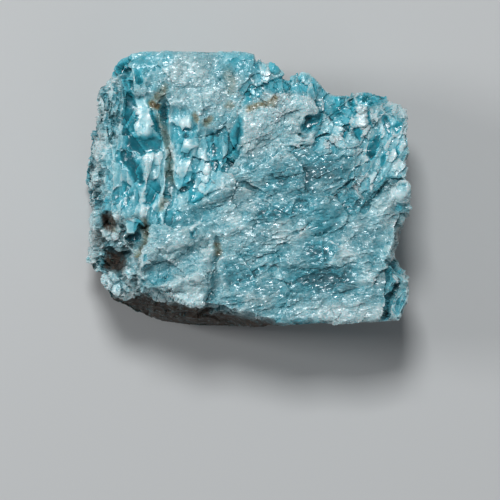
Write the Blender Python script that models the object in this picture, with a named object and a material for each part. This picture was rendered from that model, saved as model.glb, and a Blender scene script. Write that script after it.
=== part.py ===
"""Rough apatite: one broken lump of blue-green mineral, lying on its flattest fracture face.

The stone is modelled as it lies, seen from above: +X is east, +Y is north and +Z is up. A block is
wrapped onto the stone's outline, its upper side is carved into terraces, slopes, grooves and knobs,
its walls lean in towards the base, and the whole surface is broken into flat-faced fragments.
Sizes below are in millimetres, and the mesh is written in metres.
"""

import math
from collections import namedtuple

import bmesh
import bpy
import numpy as np

MM = 0.001
THICKNESS = 13.4
PLATEAU_HEIGHT = 12.3
PLATEAU_EAST_RISE = -0.015
PLATEAU_NORTH_RISE = 0.02
CELLS_PER_SIDE = 132
TRIANGLES = 9400
SKIN_CELL = 0.14
STONE_BLUE = (0.17, 0.40, 0.46, 1.0)

# The outline at its widest, clockwise from the north-west corner
NORTH_EDGE = ((-10.2, 12.1), (-8.5, 12.3), (-0.1, 12.3), (0.7, 12.1))
NORTH_EAST_NUBS = (
    (0.9, 11.5), (1.5, 11.4), (1.8, 11.0), (2.2, 11.2), (2.7, 11.0), (3.1, 10.0), (3.8, 9.7),
    (4.5, 9.9), (4.6, 10.4), (5.1, 10.5), (5.7, 10.3), (6.5, 9.6), (7.0, 9.0), (7.9, 8.6),
    (9.5, 8.4), (10.0, 8.8), (10.9, 8.8), (12.3, 8.4), (12.8, 7.8), (13.8, 7.6), (14.3, 7.2),
)
EAST_EDGE = (
    (14.5, 5.9), (14.4, 4.2), (14.6, 3.2), (14.2, 2.4), (14.5, 1.9), (14.2, 0.9), (14.6, 0.2),
    (14.7, -1.1), (14.5, -2.4), (13.9, -4.2), (13.4, -6.1),
)
CHIP_EDGE = ((13.9, -6.8), (14.4, -7.9), (14.6, -9.1), (14.3, -10.6), (13.7, -11.8))
SOUTH_EDGE = (
    (11.8, -11.9), (8.3, -12.0), (4.7, -12.2), (0.3, -12.4), (-4.6, -12.4), (-7.7, -12.0),
    (-9.9, -11.2), (-12.1, -10.0),
)
WEST_EDGE = (
    (-13.0, -8.8), (-13.2, -8.1), (-13.1, -7.5), (-13.9, -7.3), (-14.4, -6.0), (-14.0, -4.8),
    (-14.3, -3.5), (-14.0, -1.6), (-14.6, 0.6), (-14.7, 2.0), (-14.2, 3.7), (-13.9, 5.6),
    (-13.4, 7.0), (-13.0, 8.8), (-12.0, 9.9), (-11.2, 11.4),
)
OUTLINE = NORTH_EDGE + NORTH_EAST_NUBS + EAST_EDGE + CHIP_EDGE + SOUTH_EDGE + WEST_EDGE

# A terrace is a patch of the upper side with its own plane. rise is from the plateau to the plane at
# the patch's middle, east and north are its slopes, edge is the width over which it meets what lies
# round it, and grain is how strongly it is broken up.
Terrace = namedtuple("Terrace", "name rise east north edge grain corners")
TERRACES = (
    Terrace("south terrace", -0.75, 0.00, 0.02, 1.5, 0.16, (
        (-2.2, -8.9), (0.5, -8.9), (4.7, -8.1), (7.4, -8.9), (10.2, -8.4), (12.3, -6.5),
        (12.3, -7.7), (11.8, -13.4), (-2.5, -13.4), (-3.4, -10.9))),
    Terrace("grey shoulder", 0.40, 0.02, 0.08, 0.8, 0.08, (
        (-0.3, 7.2), (1.4, 8.7), (3.8, 8.6), (5.9, 8.4), (6.5, 7.4), (6.2, 6.2), (5.1, 5.9),
        (5.7, 4.3), (3.4, 3.3), (0.0, 3.1), (-0.6, 5.2))),
    Terrace("north strip", -0.25, 0.00, -0.20, 0.5, 0.45, (
        (1.0, 12.8), (4.7, 11.4), (7.4, 9.6), (6.2, 8.2), (3.8, 8.8), (1.4, 8.8), (-0.3, 7.3),
        (-0.6, 8.9), (1.0, 10.0))),
    Terrace("bay", -0.60, 0.05, 0.00, 1.0, 0.26, (
        (-10.8, 8.6), (-8.7, 8.3), (-6.9, 7.4), (-1.1, 7.5), (-0.6, 6.3), (-0.8, 3.5),
        (-2.2, 0.8), (-4.5, -1.2), (-5.7, -1.2), (-6.8, -3.5), (-9.4, -2.9), (-11.4, -2.2),
        (-13.0, -1.7), (-12.8, 3.5), (-11.0, 4.3))),
    Terrace("bay wing", -1.25, 0.28, 0.00, 0.6, 0.35, (
        (-12.9, 3.3), (-11.4, 3.5), (-10.3, 3.3), (-9.6, 1.0), (-10.5, -2.0), (-13.0, -1.6))),
    Terrace("pale cell", -0.30, 0.05, -0.12, 0.5, 0.10, (
        (-10.4, 8.1), (-8.5, 8.2), (-8.2, 6.3), (-8.5, 4.5), (-10.2, 4.6))),
    Terrace("deep cell", -1.05, 0.00, 0.00, 0.4, 0.10, (
        (-10.4, 4.5), (-7.4, 4.4), (-7.5, 3.2), (-9.7, 3.2), (-10.4, 3.5))),
    Terrace("lower cell", -0.65, 0.00, 0.05, 0.4, 0.16, (
        (-10.0, 3.1), (-7.6, 3.2), (-7.6, 1.0), (-8.5, -1.4), (-10.5, -2.0), (-9.6, 1.0))),
    Terrace("top block", 0.10, 0.00, 0.03, 1.4, 0.10, (
        (-12.0, 10.0), (-11.0, 14.0), (0.8, 14.0), (1.0, 10.0), (-0.6, 8.9), (-1.1, 7.5),
        (-6.9, 7.4), (-8.7, 8.5), (-10.5, 8.9))),
    Terrace("south-west ledge", -3.20, 0.20, 0.05, 1.5, 0.40, (
        (-16.5, -2.1), (-13.0, -1.7), (-11.4, -2.2), (-9.4, -2.9), (-8.5, -3.1), (-10.0, -5.9),
        (-9.7, -7.6), (-9.2, -8.9), (-11.2, -13.5), (-16.5, -13.5))),
    Terrace("blue block", -1.40, 0.00, 0.10, 0.45, 0.05, (
        (-10.9, -2.8), (-9.3, -2.7), (-9.4, -3.8), (-10.0, -4.2), (-10.9, -4.2))),
    Terrace("upper cavity", -4.00, 0.00, 0.00, 0.9, 0.10, (
        (-13.3, -2.0), (-12.1, -2.5), (-12.0, -3.5), (-13.0, -3.3))),
    Terrace("lower cavity", -4.60, 0.00, 0.00, 1.0, 0.10, (
        (-13.1, -5.6), (-10.8, -5.9), (-11.1, -7.1), (-12.9, -7.1))),
    Terrace("hump", 0.30, 0.00, 0.00, 0.8, 0.12, (
        (-9.7, -6.5), (-8.9, -4.5), (-7.5, -3.3), (-5.0, -3.1), (-2.9, -4.0), (-2.5, -5.4),
        (-3.0, -6.6), (-3.1, -8.5), (-3.8, -11.4), (-5.0, -11.4), (-7.7, -10.8), (-9.4, -9.6),
        (-9.8, -7.6))),
    Terrace("hollow", -0.45, 0.00, 0.00, 1.1, 0.05, (
        (-1.8, -6.8), (1.1, -7.2), (0.3, -8.8), (-1.5, -8.7))),
    Terrace("blue gulf", -0.60, 0.00, -0.05, 0.9, 0.26, (
        (6.3, 9.6), (9.5, 9.8), (9.5, 6.3), (9.2, 4.3), (7.9, 3.5), (6.0, 3.8), (6.4, 5.9))),
    Terrace("dark pit", -0.40, 0.00, 0.00, 0.8, 0.05, (
        (5.0, 6.1), (6.4, 6.4), (6.2, 5.3), (5.2, 5.3))),
    Terrace("north-east block", -0.45, -0.12, 0.00, 0.4, 0.26, (
        (9.5, 9.8), (15.9, 9.2), (15.9, 0.8), (12.3, 1.0), (10.0, -1.0), (8.6, 0.3), (10.2, 2.6),
        (9.3, 5.2))),
    Terrace("east lobe", -0.35, -0.06, -0.06, 0.4, 0.18, (
        (12.2, 0.4), (16.0, 0.4), (16.0, -2.0), (13.6, -4.5), (12.9, -6.5), (11.1, -8.2),
        (8.3, -8.8), (7.4, -6.5), (8.8, -4.2), (10.4, -1.9), (11.5, -0.8))),
    Terrace("chip head", -0.55, -0.10, 0.00, 0.3, 0.08, (
        (12.5, -6.9), (13.5, -6.2), (14.4, -7.2), (13.2, -8.8), (12.6, -10.2), (12.4, -8.4))),
    Terrace("chip", -1.10, -0.12, 0.00, 0.3, 0.20, (
        (14.1, -7.1), (16.4, -8.9), (14.3, -13.5), (11.8, -13.5), (12.4, -10.6), (13.1, -8.8))),
)

# A slope is a flat fracture that carves away all that stands above it. It is height up at the point
# at, falls in the direction toward (an east and north pair) by drop for each millimetre out, and runs
# for half_width to either side.
Slope = namedtuple("Slope", "name at toward height drop half_width")
SLOPES = (
    Slope("west shoulder", (-11.0, 3.0), (-1.0, 0.05), 11.6, 1.1, 7.5),
    Slope("west flank", (-12.7, 2.0), (-1.0, 0.0), 9.8, 3.6, 9.0),
    Slope("north-west facet", (-10.6, 10.9), (-0.85, 0.53), 13.0, 2.4, 4.0),
    Slope("brown south face", (-5.5, -9.9), (-0.215, -0.977), 11.7, 3.7, 6.0),
    Slope("south-west corner", (-11.9, -9.3), (-0.62, -0.78), 8.6, 4.0, 3.5),
    Slope("east face", (13.15, -3.45), (0.94, -0.33), 11.6, 4.0, 2.6),
    Slope("north-east fall", (12.6, 6.6), (0.60, 0.80), 11.6, 1.2, 4.0),
)
SLOPE_END_RISE = 4.0

# A knob is a rounded nub: its middle, radius and height above the ground plane
Knob = namedtuple("Knob", "name at radius height")
KNOBS = (
    Knob("south-west nub", (-12.4, -8.1), 0.95, 9.1),
    Knob("south-west second nub", (-11.1, -8.1), 0.65, 9.1),
    Knob("pale lump", (-11.9, -4.0), 0.9, 9.7),
    Knob("pale second lump", (-11.3, -4.9), 0.95, 9.6),
    Knob("steep lump", (-10.4, -7.4), 0.9, 10.6),
    Knob("north nub", (2.5, 10.8), 0.55, 12.4),
    Knob("north second nub", (5.1, 10.0), 0.65, 12.2),
    Knob("north third nub", (6.2, 9.4), 0.60, 12.1),
    Knob("north-east ridge", (10.6, 8.3), 0.9, 12.1),
    Knob("lobe tip", (13.9, -0.4), 1.3, 12.4),
    Knob("bay crystal", (-5.6, 2.0), 0.95, 12.0),
    Knob("bay second crystal", (-5.7, 6.0), 0.85, 12.1),
    Knob("bay third crystal", (-4.2, 5.4), 0.8, 12.1),
    Knob("bay fourth crystal", (-4.1, 2.0), 0.8, 11.9),
)

# A groove is an open crack: how deep, how wide from its middle to its lip, and its path
Groove = namedtuple("Groove", "name depth reach path")
GROOVES = (
    Groove("bay groove", 0.7, 0.42, (
        (-7.7, 8.9), (-7.2, 7.5), (-7.2, 4.5), (-6.7, 3.3), (-6.7, 0.4), (-7.4, -2.0))),
    Groove("seam", 0.7, 0.35, (
        (-0.5, 8.6), (-0.6, 6.3), (-0.7, 4.3), (-1.5, 2.6), (-2.3, 0.8))),
    Groove("bay crack", 0.5, 0.25, ((-6.8, 0.6), (-6.1, -0.1), (-4.8, 0.7), (-4.7, 1.9))),
    Groove("bay edge crack", 0.4, 0.25, ((-5.5, -1.0), (-4.5, -1.2), (-3.2, -0.3), (-2.2, -0.1))),
    Groove("rust crack", 0.7, 0.50, ((-8.5, -2.9), (-9.4, -4.8), (-10.2, -6.1))),
    Groove("hump groove", 0.45, 0.55, (
        (-3.2, -3.6), (-2.4, -4.5), (-2.4, -5.9), (-2.9, -7.6), (-3.3, -9.8), (-3.6, -11.2))),
    Groove("hump west crack", 0.4, 0.35, ((-9.8, -6.5), (-9.8, -7.6), (-9.0, -9.3))),
    Groove("hump trough", 0.35, 0.90, ((-7.2, -7.8), (-5.0, -7.0), (-2.7, -6.0))),
    Groove("diagonal crack", 1.2, 0.50, (
        (15.0, 0.6), (12.5, 0.7), (11.5, -0.4), (10.4, -1.9), (9.0, -4.0))),
    Groove("chip crack", 1.5, 0.30, ((14.0, -7.3), (13.2, -8.6), (12.6, -10.1), (12.0, -12.3))),
    Groove("north-east crack", 0.5, 0.30, ((9.3, 5.7), (9.9, 4.2), (10.4, 3.5))),
)

# A fold is a soft ridge, or a soft valley where its rise is negative: how high it is along its
# middle, how far its foot is from there, and its path
Fold = namedtuple("Fold", "name rise reach path")
FOLDS = (
    Fold("hump valley", -0.65, 1.0, (
        (-9.2, -7.7), (-7.0, -6.9), (-5.7, -6.3), (-4.6, -5.6), (-3.6, -5.2))),
    Fold("hump crest", 0.55, 1.1, (
        (-8.8, -8.9), (-7.1, -8.4), (-5.7, -8.1), (-4.6, -7.9), (-3.8, -7.6))),
    Fold("hump brow", 0.40, 1.1, ((-9.3, -6.6), (-8.4, -5.2), (-7.0, -4.6), (-5.4, -4.6))),
    Fold("hump foot", -0.40, 0.8, ((-9.0, -9.3), (-7.4, -9.6), (-6.0, -9.3), (-4.9, -9.5))),
    Fold("plateau brow", 0.30, 1.2, ((-4.6, -0.6), (-1.8, 0.6), (1.6, 1.4), (5.0, 2.0))),
    Fold("plateau trough", -0.35, 1.0, ((-4.2, -2.2), (-1.6, -1.2), (1.6, -0.9), (4.6, -0.5))),
    Fold("plateau swell", 0.30, 1.2, ((-1.8, -3.6), (0.9, -2.6), (3.8, -1.9), (6.4, -1.3))),
    Fold("blue trough", -0.35, 1.1, ((3.8, -5.2), (6.2, -4.4), (8.4, -3.8))),
    Fold("south brow", 0.32, 1.1, (
        (-0.9, -5.2), (1.8, -5.6), (4.4, -6.4), (7.2, -6.2), (9.8, -5.0))),
    Fold("south trough", -0.45, 1.0, ((1.8, -7.6), (4.9, -7.6), (7.9, -7.9), (9.8, -7.0))),
    Fold("lobe crest", 0.30, 1.1, ((10.2, -6.4), (11.2, -4.2), (12.4, -2.2))),
    Fold("bay rise", 0.25, 1.0, ((-5.4, 6.0), (-5.2, 4.0), (-5.4, 2.0))),
    Fold("bay fall", -0.30, 0.9, ((-3.6, 6.8), (-3.4, 4.4), (-3.0, 2.2))),
)

# How far borders, cracks and folds stray from their drawn paths, and over what length
WANDER = 0.25
WANDER_SIZE = 1.6

# How the rim is worn down, how far in that goes, and how far the outline is pulled in
RIM_DROP = 0.45
RIM_REACH = 0.45
RIM_TRIM = 0.15

# How far the foot of the wall stands in from the outline, by bearing in degrees from east. It stands
# in less under a low rim.
WALL_BEARINGS = (-180, -150, -115, -80, -45, -15, 20, 60, 90, 125, 155, 180)
WALL_INSETS = (1.3, 1.2, 1.4, 2.4, 2.6, 2.0, 2.2, 2.0, 1.1, 1.5, 1.6, 1.3)
WALL_WAIST = 1.6
FOOT_ROUNDING = 1.3
FOOT_HEIGHT = 1.8
LEAST_UNDERCUT = 0.3
BASE_SAG = 1.00
BASE_RIM_RISE = 1.7
BASE_FLAT_SHARE = 0.70
BLOCK_FACE = 0.9999

# The broken surface: large fragments all over, and smaller ones on them
FRAGMENT_SIZE = 3.3
FRAGMENT_STEP = 0.26
FRAGMENT_TILT = 0.50
CHIP_SIZE = 1.2
CHIP_STEP = 0.5
CHIP_TILT = 0.8
TOP_FRAGMENT_SHARE = 0.15
WALL_GRAIN = 0.30
WALL_CUT_BACK = 0.15
LARGEST_BULGE = 0.35
PLATEAU_GRAIN = 0.05
CRUMBLE_SIZE = 0.8
CRUMBLE_DEPTH = 0.07

EAST_WANDER_SEED = 11
NORTH_WANDER_SEED = 12
FRAGMENT_SEED = 21
CHIP_SEED = 41
CRUMBLE_SEED = 61
HASH_FACTORS = (73856093, 19349663, 83492791)
HASH_MIX = 1274126177


def clear_scene():
    for obj in list(bpy.data.objects):
        bpy.data.objects.remove(obj)


def lattice_random(cells, seed):
    """A repeatable number from 0 to 1 for each row of whole numbers."""
    keys = cells.astype(np.int64).view(np.uint64)
    mixed = np.full(len(cells), seed * HASH_MIX, np.uint64)
    for axis, factor in enumerate(HASH_FACTORS):
        mixed ^= keys[:, axis] * np.uint64(factor)
        mixed = (mixed ^ (mixed >> np.uint64(15))) * np.uint64(HASH_MIX)
    mixed ^= mixed >> np.uint64(29)
    return (mixed % np.uint64(1 << 24)).astype(float) / (1 << 24)


def smooth_noise(points, size, seed):
    """Noise from -1 to 1 that changes over about size millimetres."""
    scaled = points / size
    cells = np.floor(scaled)
    share = scaled - cells
    share = share * share * (3 - 2 * share)
    total = np.zeros(len(points))
    for corner in np.ndindex(2, 2, 2):
        weight = np.prod(np.where(corner, share, 1 - share), axis=1)
        total += weight * lattice_random(cells + corner, seed)
    return 2 * total - 1


def fragments(points, size, step, tilt, seed):
    """Height of a surface broken into flat-faced fragments, each stepped and tilted its own way."""
    scaled = points / size
    home = np.floor(scaled)
    nearest = np.full(len(points), np.inf)
    height = np.zeros(len(points))
    for shift in np.ndindex(3, 3, 3):
        cell = home + np.array(shift) - 1
        middle = cell + np.stack([lattice_random(cell, seed + axis) for axis in range(3)], axis=1)
        away = scaled - middle
        distance = (away ** 2).sum(axis=1)
        lean = np.stack([lattice_random(cell, seed + 3 + axis) for axis in range(3)], axis=1) - 0.5
        face = step * (lattice_random(cell, seed + 6) - 0.5) + tilt * (lean * away).sum(axis=1)
        closer = distance < nearest
        height[closer] = face[closer]
        nearest[closer] = distance[closer]
    return size * height


def ramp(value, low, high):
    """0 up to low, 1 from high, and a smooth rise between them."""
    share = np.clip((value - low) / (high - low), 0, 1)
    return share * share * (3 - 2 * share)


def distance_to_path(x, y, path):
    """Distance from each point to an open path."""
    nearest = np.full(len(x), np.inf)
    for (x0, y0), (x1, y1) in zip(path, path[1:]):
        east, north = x1 - x0, y1 - y0
        along = ((x - x0) * east + (y - y0) * north) / (east ** 2 + north ** 2)
        along = np.clip(along, 0, 1)
        nearest = np.minimum(nearest, np.hypot(x - x0 - along * east, y - y0 - along * north))
    return nearest


def depth_inside(x, y, corners):
    """Distance to the edge of a closed shape, positive inside it and negative outside."""
    inside = np.zeros(len(x), bool)
    closed = tuple(corners) + (corners[0],)
    for (x0, y0), (x1, y1) in zip(closed, closed[1:]):
        crosses = (y0 > y) != (y1 > y)
        rise = y1 - y0 if y1 != y0 else 1.0
        inside ^= crosses & (x < x0 + (y - y0) * (x1 - x0) / rise)
    return np.where(inside, 1, -1) * distance_to_path(x, y, closed)


def outline_reach(bearing):
    """Distance from the middle to the outline, for each bearing in radians from east."""
    corners = np.array(OUTLINE)
    corner_bearings = np.arctan2(corners[:, 1], corners[:, 0])
    order = np.argsort(corner_bearings)
    corners, corner_bearings = corners[order], corner_bearings[order]
    after = np.searchsorted(corner_bearings, bearing) % len(corners)
    start, end = corners[after - 1], corners[after]
    edge = end - start
    ray = np.stack([np.cos(bearing), np.sin(bearing)], axis=1)
    start_across = start[:, 0] * edge[:, 1] - start[:, 1] * edge[:, 0]
    ray_across = ray[:, 0] * edge[:, 1] - ray[:, 1] * edge[:, 0]
    return start_across / ray_across


def carve_top(x, y):
    """(height, grain) of the upper side at each plan position."""
    flat = np.stack([x, y, np.zeros(len(x))], axis=1)
    bent_x = x + WANDER * smooth_noise(flat, WANDER_SIZE, EAST_WANDER_SEED)
    bent_y = y + WANDER * smooth_noise(flat, WANDER_SIZE, NORTH_WANDER_SEED)
    height = PLATEAU_HEIGHT + PLATEAU_EAST_RISE * x + PLATEAU_NORTH_RISE * y
    grain = np.full(len(x), PLATEAU_GRAIN)
    for terrace in TERRACES:
        middle_x, middle_y = np.mean(terrace.corners, axis=0)
        plane = PLATEAU_HEIGHT + terrace.rise
        plane = plane + terrace.east * (x - middle_x) + terrace.north * (y - middle_y)
        inside = depth_inside(bent_x, bent_y, terrace.corners)
        share = ramp(inside, -terrace.edge / 2, terrace.edge / 2)
        height = height + share * (plane - height)
        grain = grain + share * (terrace.grain - grain)
    for fold in FOLDS:
        away = distance_to_path(bent_x, bent_y, fold.path) / fold.reach
        height = height + fold.rise * (1 - ramp(away, 0, 1))
    for knob in KNOBS:
        away = np.hypot(x - knob.at[0], y - knob.at[1]) / knob.radius
        dome = knob.height - knob.radius * (1 - np.sqrt(np.clip(1 - away ** 2, 0, 1)))
        height = np.where(away < 1, np.maximum(height, dome), height)
    for slope in SLOPES:
        east, north = bent_x - slope.at[0], bent_y - slope.at[1]
        out = east * slope.toward[0] + north * slope.toward[1]
        past_end = np.abs(north * slope.toward[0] - east * slope.toward[1]) - slope.half_width
        carved = slope.height - slope.drop * out + SLOPE_END_RISE * np.clip(past_end, 0, None)
        height = np.minimum(height, carved)
    for groove in GROOVES:
        near = 1 - distance_to_path(bent_x, bent_y, groove.path) / groove.reach
        height = height - groove.depth * np.clip(near, 0, 1)
    return height, grain


def wall_inset(bearing, share):
    """How far the wall stands in from the outline, at a share of its height from foot to rim."""
    foot = np.interp(np.degrees(bearing), WALL_BEARINGS, WALL_INSETS)
    lean = foot * (1 - share) ** WALL_WAIST
    return RIM_TRIM + lean + FOOT_ROUNDING * np.clip(1 - share * THICKNESS / FOOT_HEIGHT, 0, 1) ** 2


def wrap_block(block):
    """Plan position, height and grain of the stone's surface for each point of a 2 x 2 x 2 block."""
    u, v, w = block.T
    spread = np.maximum(np.abs(u), np.abs(v))
    safe = np.where(spread > 0, spread, 1)
    east_west = np.abs(u) >= np.abs(v)
    bearing = np.where(
        east_west,
        math.pi / 4 * v / safe * np.sign(u) + np.where(u < 0, math.pi, 0),
        math.pi / 2 * np.sign(v) - math.pi / 4 * u / safe * np.sign(v),
    )
    bearing = np.arctan2(np.sin(bearing), np.cos(bearing))
    reach = outline_reach(bearing)
    rim_top, _ = carve_top(reach * np.cos(bearing), reach * np.sin(bearing))
    up = (w + 1) / 2
    undercut = np.clip(rim_top / PLATEAU_HEIGHT, LEAST_UNDERCUT, 1)
    reach = spread * (reach - undercut * wall_inset(bearing, up))
    x, y = reach * np.cos(bearing), reach * np.sin(bearing)
    top, grain = carve_top(x, y)
    from_rim = outline_reach(bearing) * (1 - spread)
    rounding = RIM_DROP * np.exp(-from_rim / RIM_REACH)
    foot = -BASE_SAG + BASE_RIM_RISE * ramp(spread, BASE_FLAT_SHARE, 1)
    on_top, on_base = w > BLOCK_FACE, w < -BLOCK_FACE
    wall = foot + up * (rim_top - RIM_DROP - foot)
    height = np.where(on_top, top - rounding, np.where(on_base, foot, wall))
    grain = np.where(on_top, grain, WALL_GRAIN)
    return np.stack([x, y, height], axis=1), grain


def break_surface(points, normals, grain):
    """Pushes the surface in and out into fragments, by more where the grain is strong."""
    large = fragments(points, FRAGMENT_SIZE, FRAGMENT_STEP, FRAGMENT_TILT, FRAGMENT_SEED)
    small = fragments(points, CHIP_SIZE, CHIP_STEP, CHIP_TILT, CHIP_SEED)
    crumble = CRUMBLE_DEPTH * smooth_noise(points, CRUMBLE_SIZE, CRUMBLE_SEED)
    facing_up = np.clip(normals[:, 2], 0, 1)
    large_share = 1 - (1 - TOP_FRAGMENT_SHARE) * facing_up
    push = large_share * (large - WALL_CUT_BACK) + grain * small + crumble
    return points + normals * np.minimum(push, LARGEST_BULGE)[:, None]


def read_array(collection, name):
    values = np.empty(len(collection) * 3, np.float32)
    collection.foreach_get(name, values)
    return values.reshape(-1, 3).astype(float)


def make_stone():
    bm = bmesh.new()
    bmesh.ops.create_cube(bm, size=2)
    bmesh.ops.subdivide_edges(bm, edges=bm.edges, cuts=CELLS_PER_SIDE - 1, use_grid_fill=True)
    mesh = bpy.data.meshes.new("apatite")
    bm.to_mesh(mesh)
    bm.free()
    points, grain = wrap_block(read_array(mesh.vertices, "co"))
    mesh.vertices.foreach_set("co", points.ravel())
    mesh.update()
    points = break_surface(points, read_array(mesh.vertices, "normal"), grain)
    mesh.vertices.foreach_set("co", (points * MM).ravel())
    mesh.update()
    stone = bpy.data.objects.new("apatite", mesh)
    bpy.context.scene.collection.objects.link(stone)
    return stone


def bake_modifiers(stone):
    graph = bpy.context.evaluated_depsgraph_get()
    baked = bpy.data.meshes.new_from_object(stone.evaluated_get(graph))
    stone.modifiers.clear()
    stone.data = baked
    stone.data.name = "apatite"


def close_skin(stone):
    """Rebuilds the surface as one closed skin, which fuses the fragments where they overlap."""
    modifier = stone.modifiers.new("Close skin", "REMESH")
    modifier.mode = "VOXEL"
    modifier.voxel_size = SKIN_CELL * MM
    bake_modifiers(stone)


def thin_out(stone):
    """Merges faces where the surface is nearly flat, down to the wanted count."""
    modifier = stone.modifiers.new("Thin out", "DECIMATE")
    modifier.ratio = TRIANGLES / (2 * len(stone.data.polygons))
    modifier.use_collapse_triangulate = True
    bake_modifiers(stone)


def drop_loose_bodies(bm):
    """Removes all that is apart from the main body, such as a dent closed off by the cut."""
    left = set(bm.faces)
    bodies = []
    while left:
        front = [left.pop()]
        body = list(front)
        while front:
            neighbours = {face for edge in front.pop().edges for face in edge.link_faces} & left
            left -= neighbours
            front.extend(neighbours)
            body.extend(neighbours)
        bodies.append(body)
    bodies.sort(key=len)
    for body in bodies[:-1]:
        bmesh.ops.delete(bm, geom=body, context="FACES")


def cut_resting_face(stone):
    """Cuts the stone off flat at the ground, closes the cut, and centres the stone on the origin."""
    bm = bmesh.new()
    bm.from_mesh(stone.data)
    everything = bm.verts[:] + bm.edges[:] + bm.faces[:]
    cut = bmesh.ops.bisect_plane(bm, geom=everything, plane_co=(0, 0, 0), plane_no=(0, 0, -1),
                                 clear_outer=True)
    edges = [item for item in cut["geom_cut"] if isinstance(item, bmesh.types.BMEdge)]
    bmesh.ops.holes_fill(bm, edges=edges)
    drop_loose_bodies(bm)
    bmesh.ops.triangulate(bm, faces=bm.faces)
    places = np.array([vertex.co for vertex in bm.verts])
    middle = (places.min(axis=0) + places.max(axis=0)) / 2
    bmesh.ops.translate(bm, verts=bm.verts, vec=(-middle[0], -middle[1], 0))
    bm.to_mesh(stone.data)
    bm.free()


def paint(stone):
    material = bpy.data.materials.new("apatite")
    material.use_nodes = True
    shader = material.node_tree.nodes["Principled BSDF"]
    shader.inputs["Base Color"].default_value = STONE_BLUE
    shader.inputs["Roughness"].default_value = 0.5
    shader.inputs["Metallic"].default_value = 0.0
    stone.data.materials.append(material)


def main():
    clear_scene()
    stone = make_stone()
    close_skin(stone)
    thin_out(stone)
    cut_resting_face(stone)
    paint(stone)


main()
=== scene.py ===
"""Rough apatite, finished: the broken blue-green stone, a pale floor, soft light and a camera above.

The stone is shaped in its own plan, seen from above: +X is east, +Y is north and +Z is up, in
millimetres. A sheet with a skirt is wrapped onto the stone's outline. Its upper side is carved into
terraces, slopes, crystal faces and cracks, each broken up in the habit of its place, its walls lean in towards
the base, and all of it is split into flat fragments. The mesh is then centred on the frame's axes.
"""

from __future__ import annotations

import logging
import math
from dataclasses import dataclass, field
from enum import Enum

import bmesh
import bpy
import numpy as np
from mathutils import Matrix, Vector

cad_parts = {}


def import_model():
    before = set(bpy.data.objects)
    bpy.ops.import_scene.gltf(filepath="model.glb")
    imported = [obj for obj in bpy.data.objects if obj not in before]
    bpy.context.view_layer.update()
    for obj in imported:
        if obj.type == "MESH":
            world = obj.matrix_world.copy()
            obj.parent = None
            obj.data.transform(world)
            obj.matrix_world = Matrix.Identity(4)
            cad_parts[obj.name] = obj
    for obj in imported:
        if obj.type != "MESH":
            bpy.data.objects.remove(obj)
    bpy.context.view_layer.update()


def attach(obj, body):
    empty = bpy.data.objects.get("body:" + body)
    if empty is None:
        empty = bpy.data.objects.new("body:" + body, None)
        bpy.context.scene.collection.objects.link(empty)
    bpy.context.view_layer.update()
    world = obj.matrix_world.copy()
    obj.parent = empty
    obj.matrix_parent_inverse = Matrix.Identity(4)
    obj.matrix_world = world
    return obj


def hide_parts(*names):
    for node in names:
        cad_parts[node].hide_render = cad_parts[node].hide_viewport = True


log = logging.getLogger("apatite")

MM = 0.001

Colour = tuple[float, float, float]
Place = tuple[float, float]
Path = tuple[Place, ...]


def ramp(value: np.ndarray, low: float, high: float) -> np.ndarray:
    """Gives 0 up to low, 1 from high, and a smooth rise between them.

    Args:
        value: The numbers to grade.
        low: Where the rise starts.
        high: Where it ends.

    Returns:
        The grades, from 0 to 1.
    """
    share = np.clip((value - low) / (high - low), 0, 1)
    return share * share * (3 - 2 * share)


def luck(cells: np.ndarray, seed: int) -> np.ndarray:
    """Draws four repeatable numbers for each cell of a grid.

    Args:
        cells: Rows of whole numbers, one row for each cell.
        seed: Picks the draw.

    Returns:
        Rows of four numbers from 0 to 1.
    """
    keys = cells.astype(np.int64).view(np.uint64)
    mixed = np.full(len(cells), seed * 2654435761, np.uint64)
    for axis in range(cells.shape[1]):
        mixed = (mixed ^ keys[:, axis]) * np.uint64(0x9E3779B97F4A7C15)
        mixed ^= mixed >> np.uint64(29)
    mixed *= np.uint64(0xBF58476D1CE4E5B9)
    mixed ^= mixed >> np.uint64(32)
    parts = [(mixed >> np.uint64(shift)) & np.uint64(0xFFFF) for shift in (0, 16, 32, 48)]
    return np.stack(parts, axis=1) / 65535.0


def soft_noise(points: np.ndarray, size: float, seed: int) -> np.ndarray:
    """Makes noise that changes over about size millimetres.

    Args:
        points: Rows of two or three coordinates.
        size: The width of a bump.
        seed: Picks the pattern.

    Returns:
        One number from -1 to 1 for each point.
    """
    scaled = points / size
    cells = np.floor(scaled)
    share = scaled - cells
    share = share * share * (3 - 2 * share)
    total = np.zeros(len(points))
    for corner in np.ndindex((2,) * points.shape[1]):
        weight = np.prod(np.where(corner, share, 1 - share), axis=1)
        total += weight * luck(cells + corner, seed)[:, 0]
    return 2 * total - 1


def layered_noise(points: np.ndarray, size: float, seed: int, layers: int = 3) -> np.ndarray:
    """Adds up layers of noise, each half as wide and half as strong as the last.

    Args:
        points: Rows of two or three coordinates.
        size: The width of the widest bumps.
        seed: Picks the pattern.
        layers: How many layers there are.

    Returns:
        One number for each point, mostly from -1 to 1.
    """
    total = np.zeros(len(points))
    for layer in range(layers):
        total += soft_noise(points, size / 2**layer, seed + layer) / 2**layer
    return total


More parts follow.
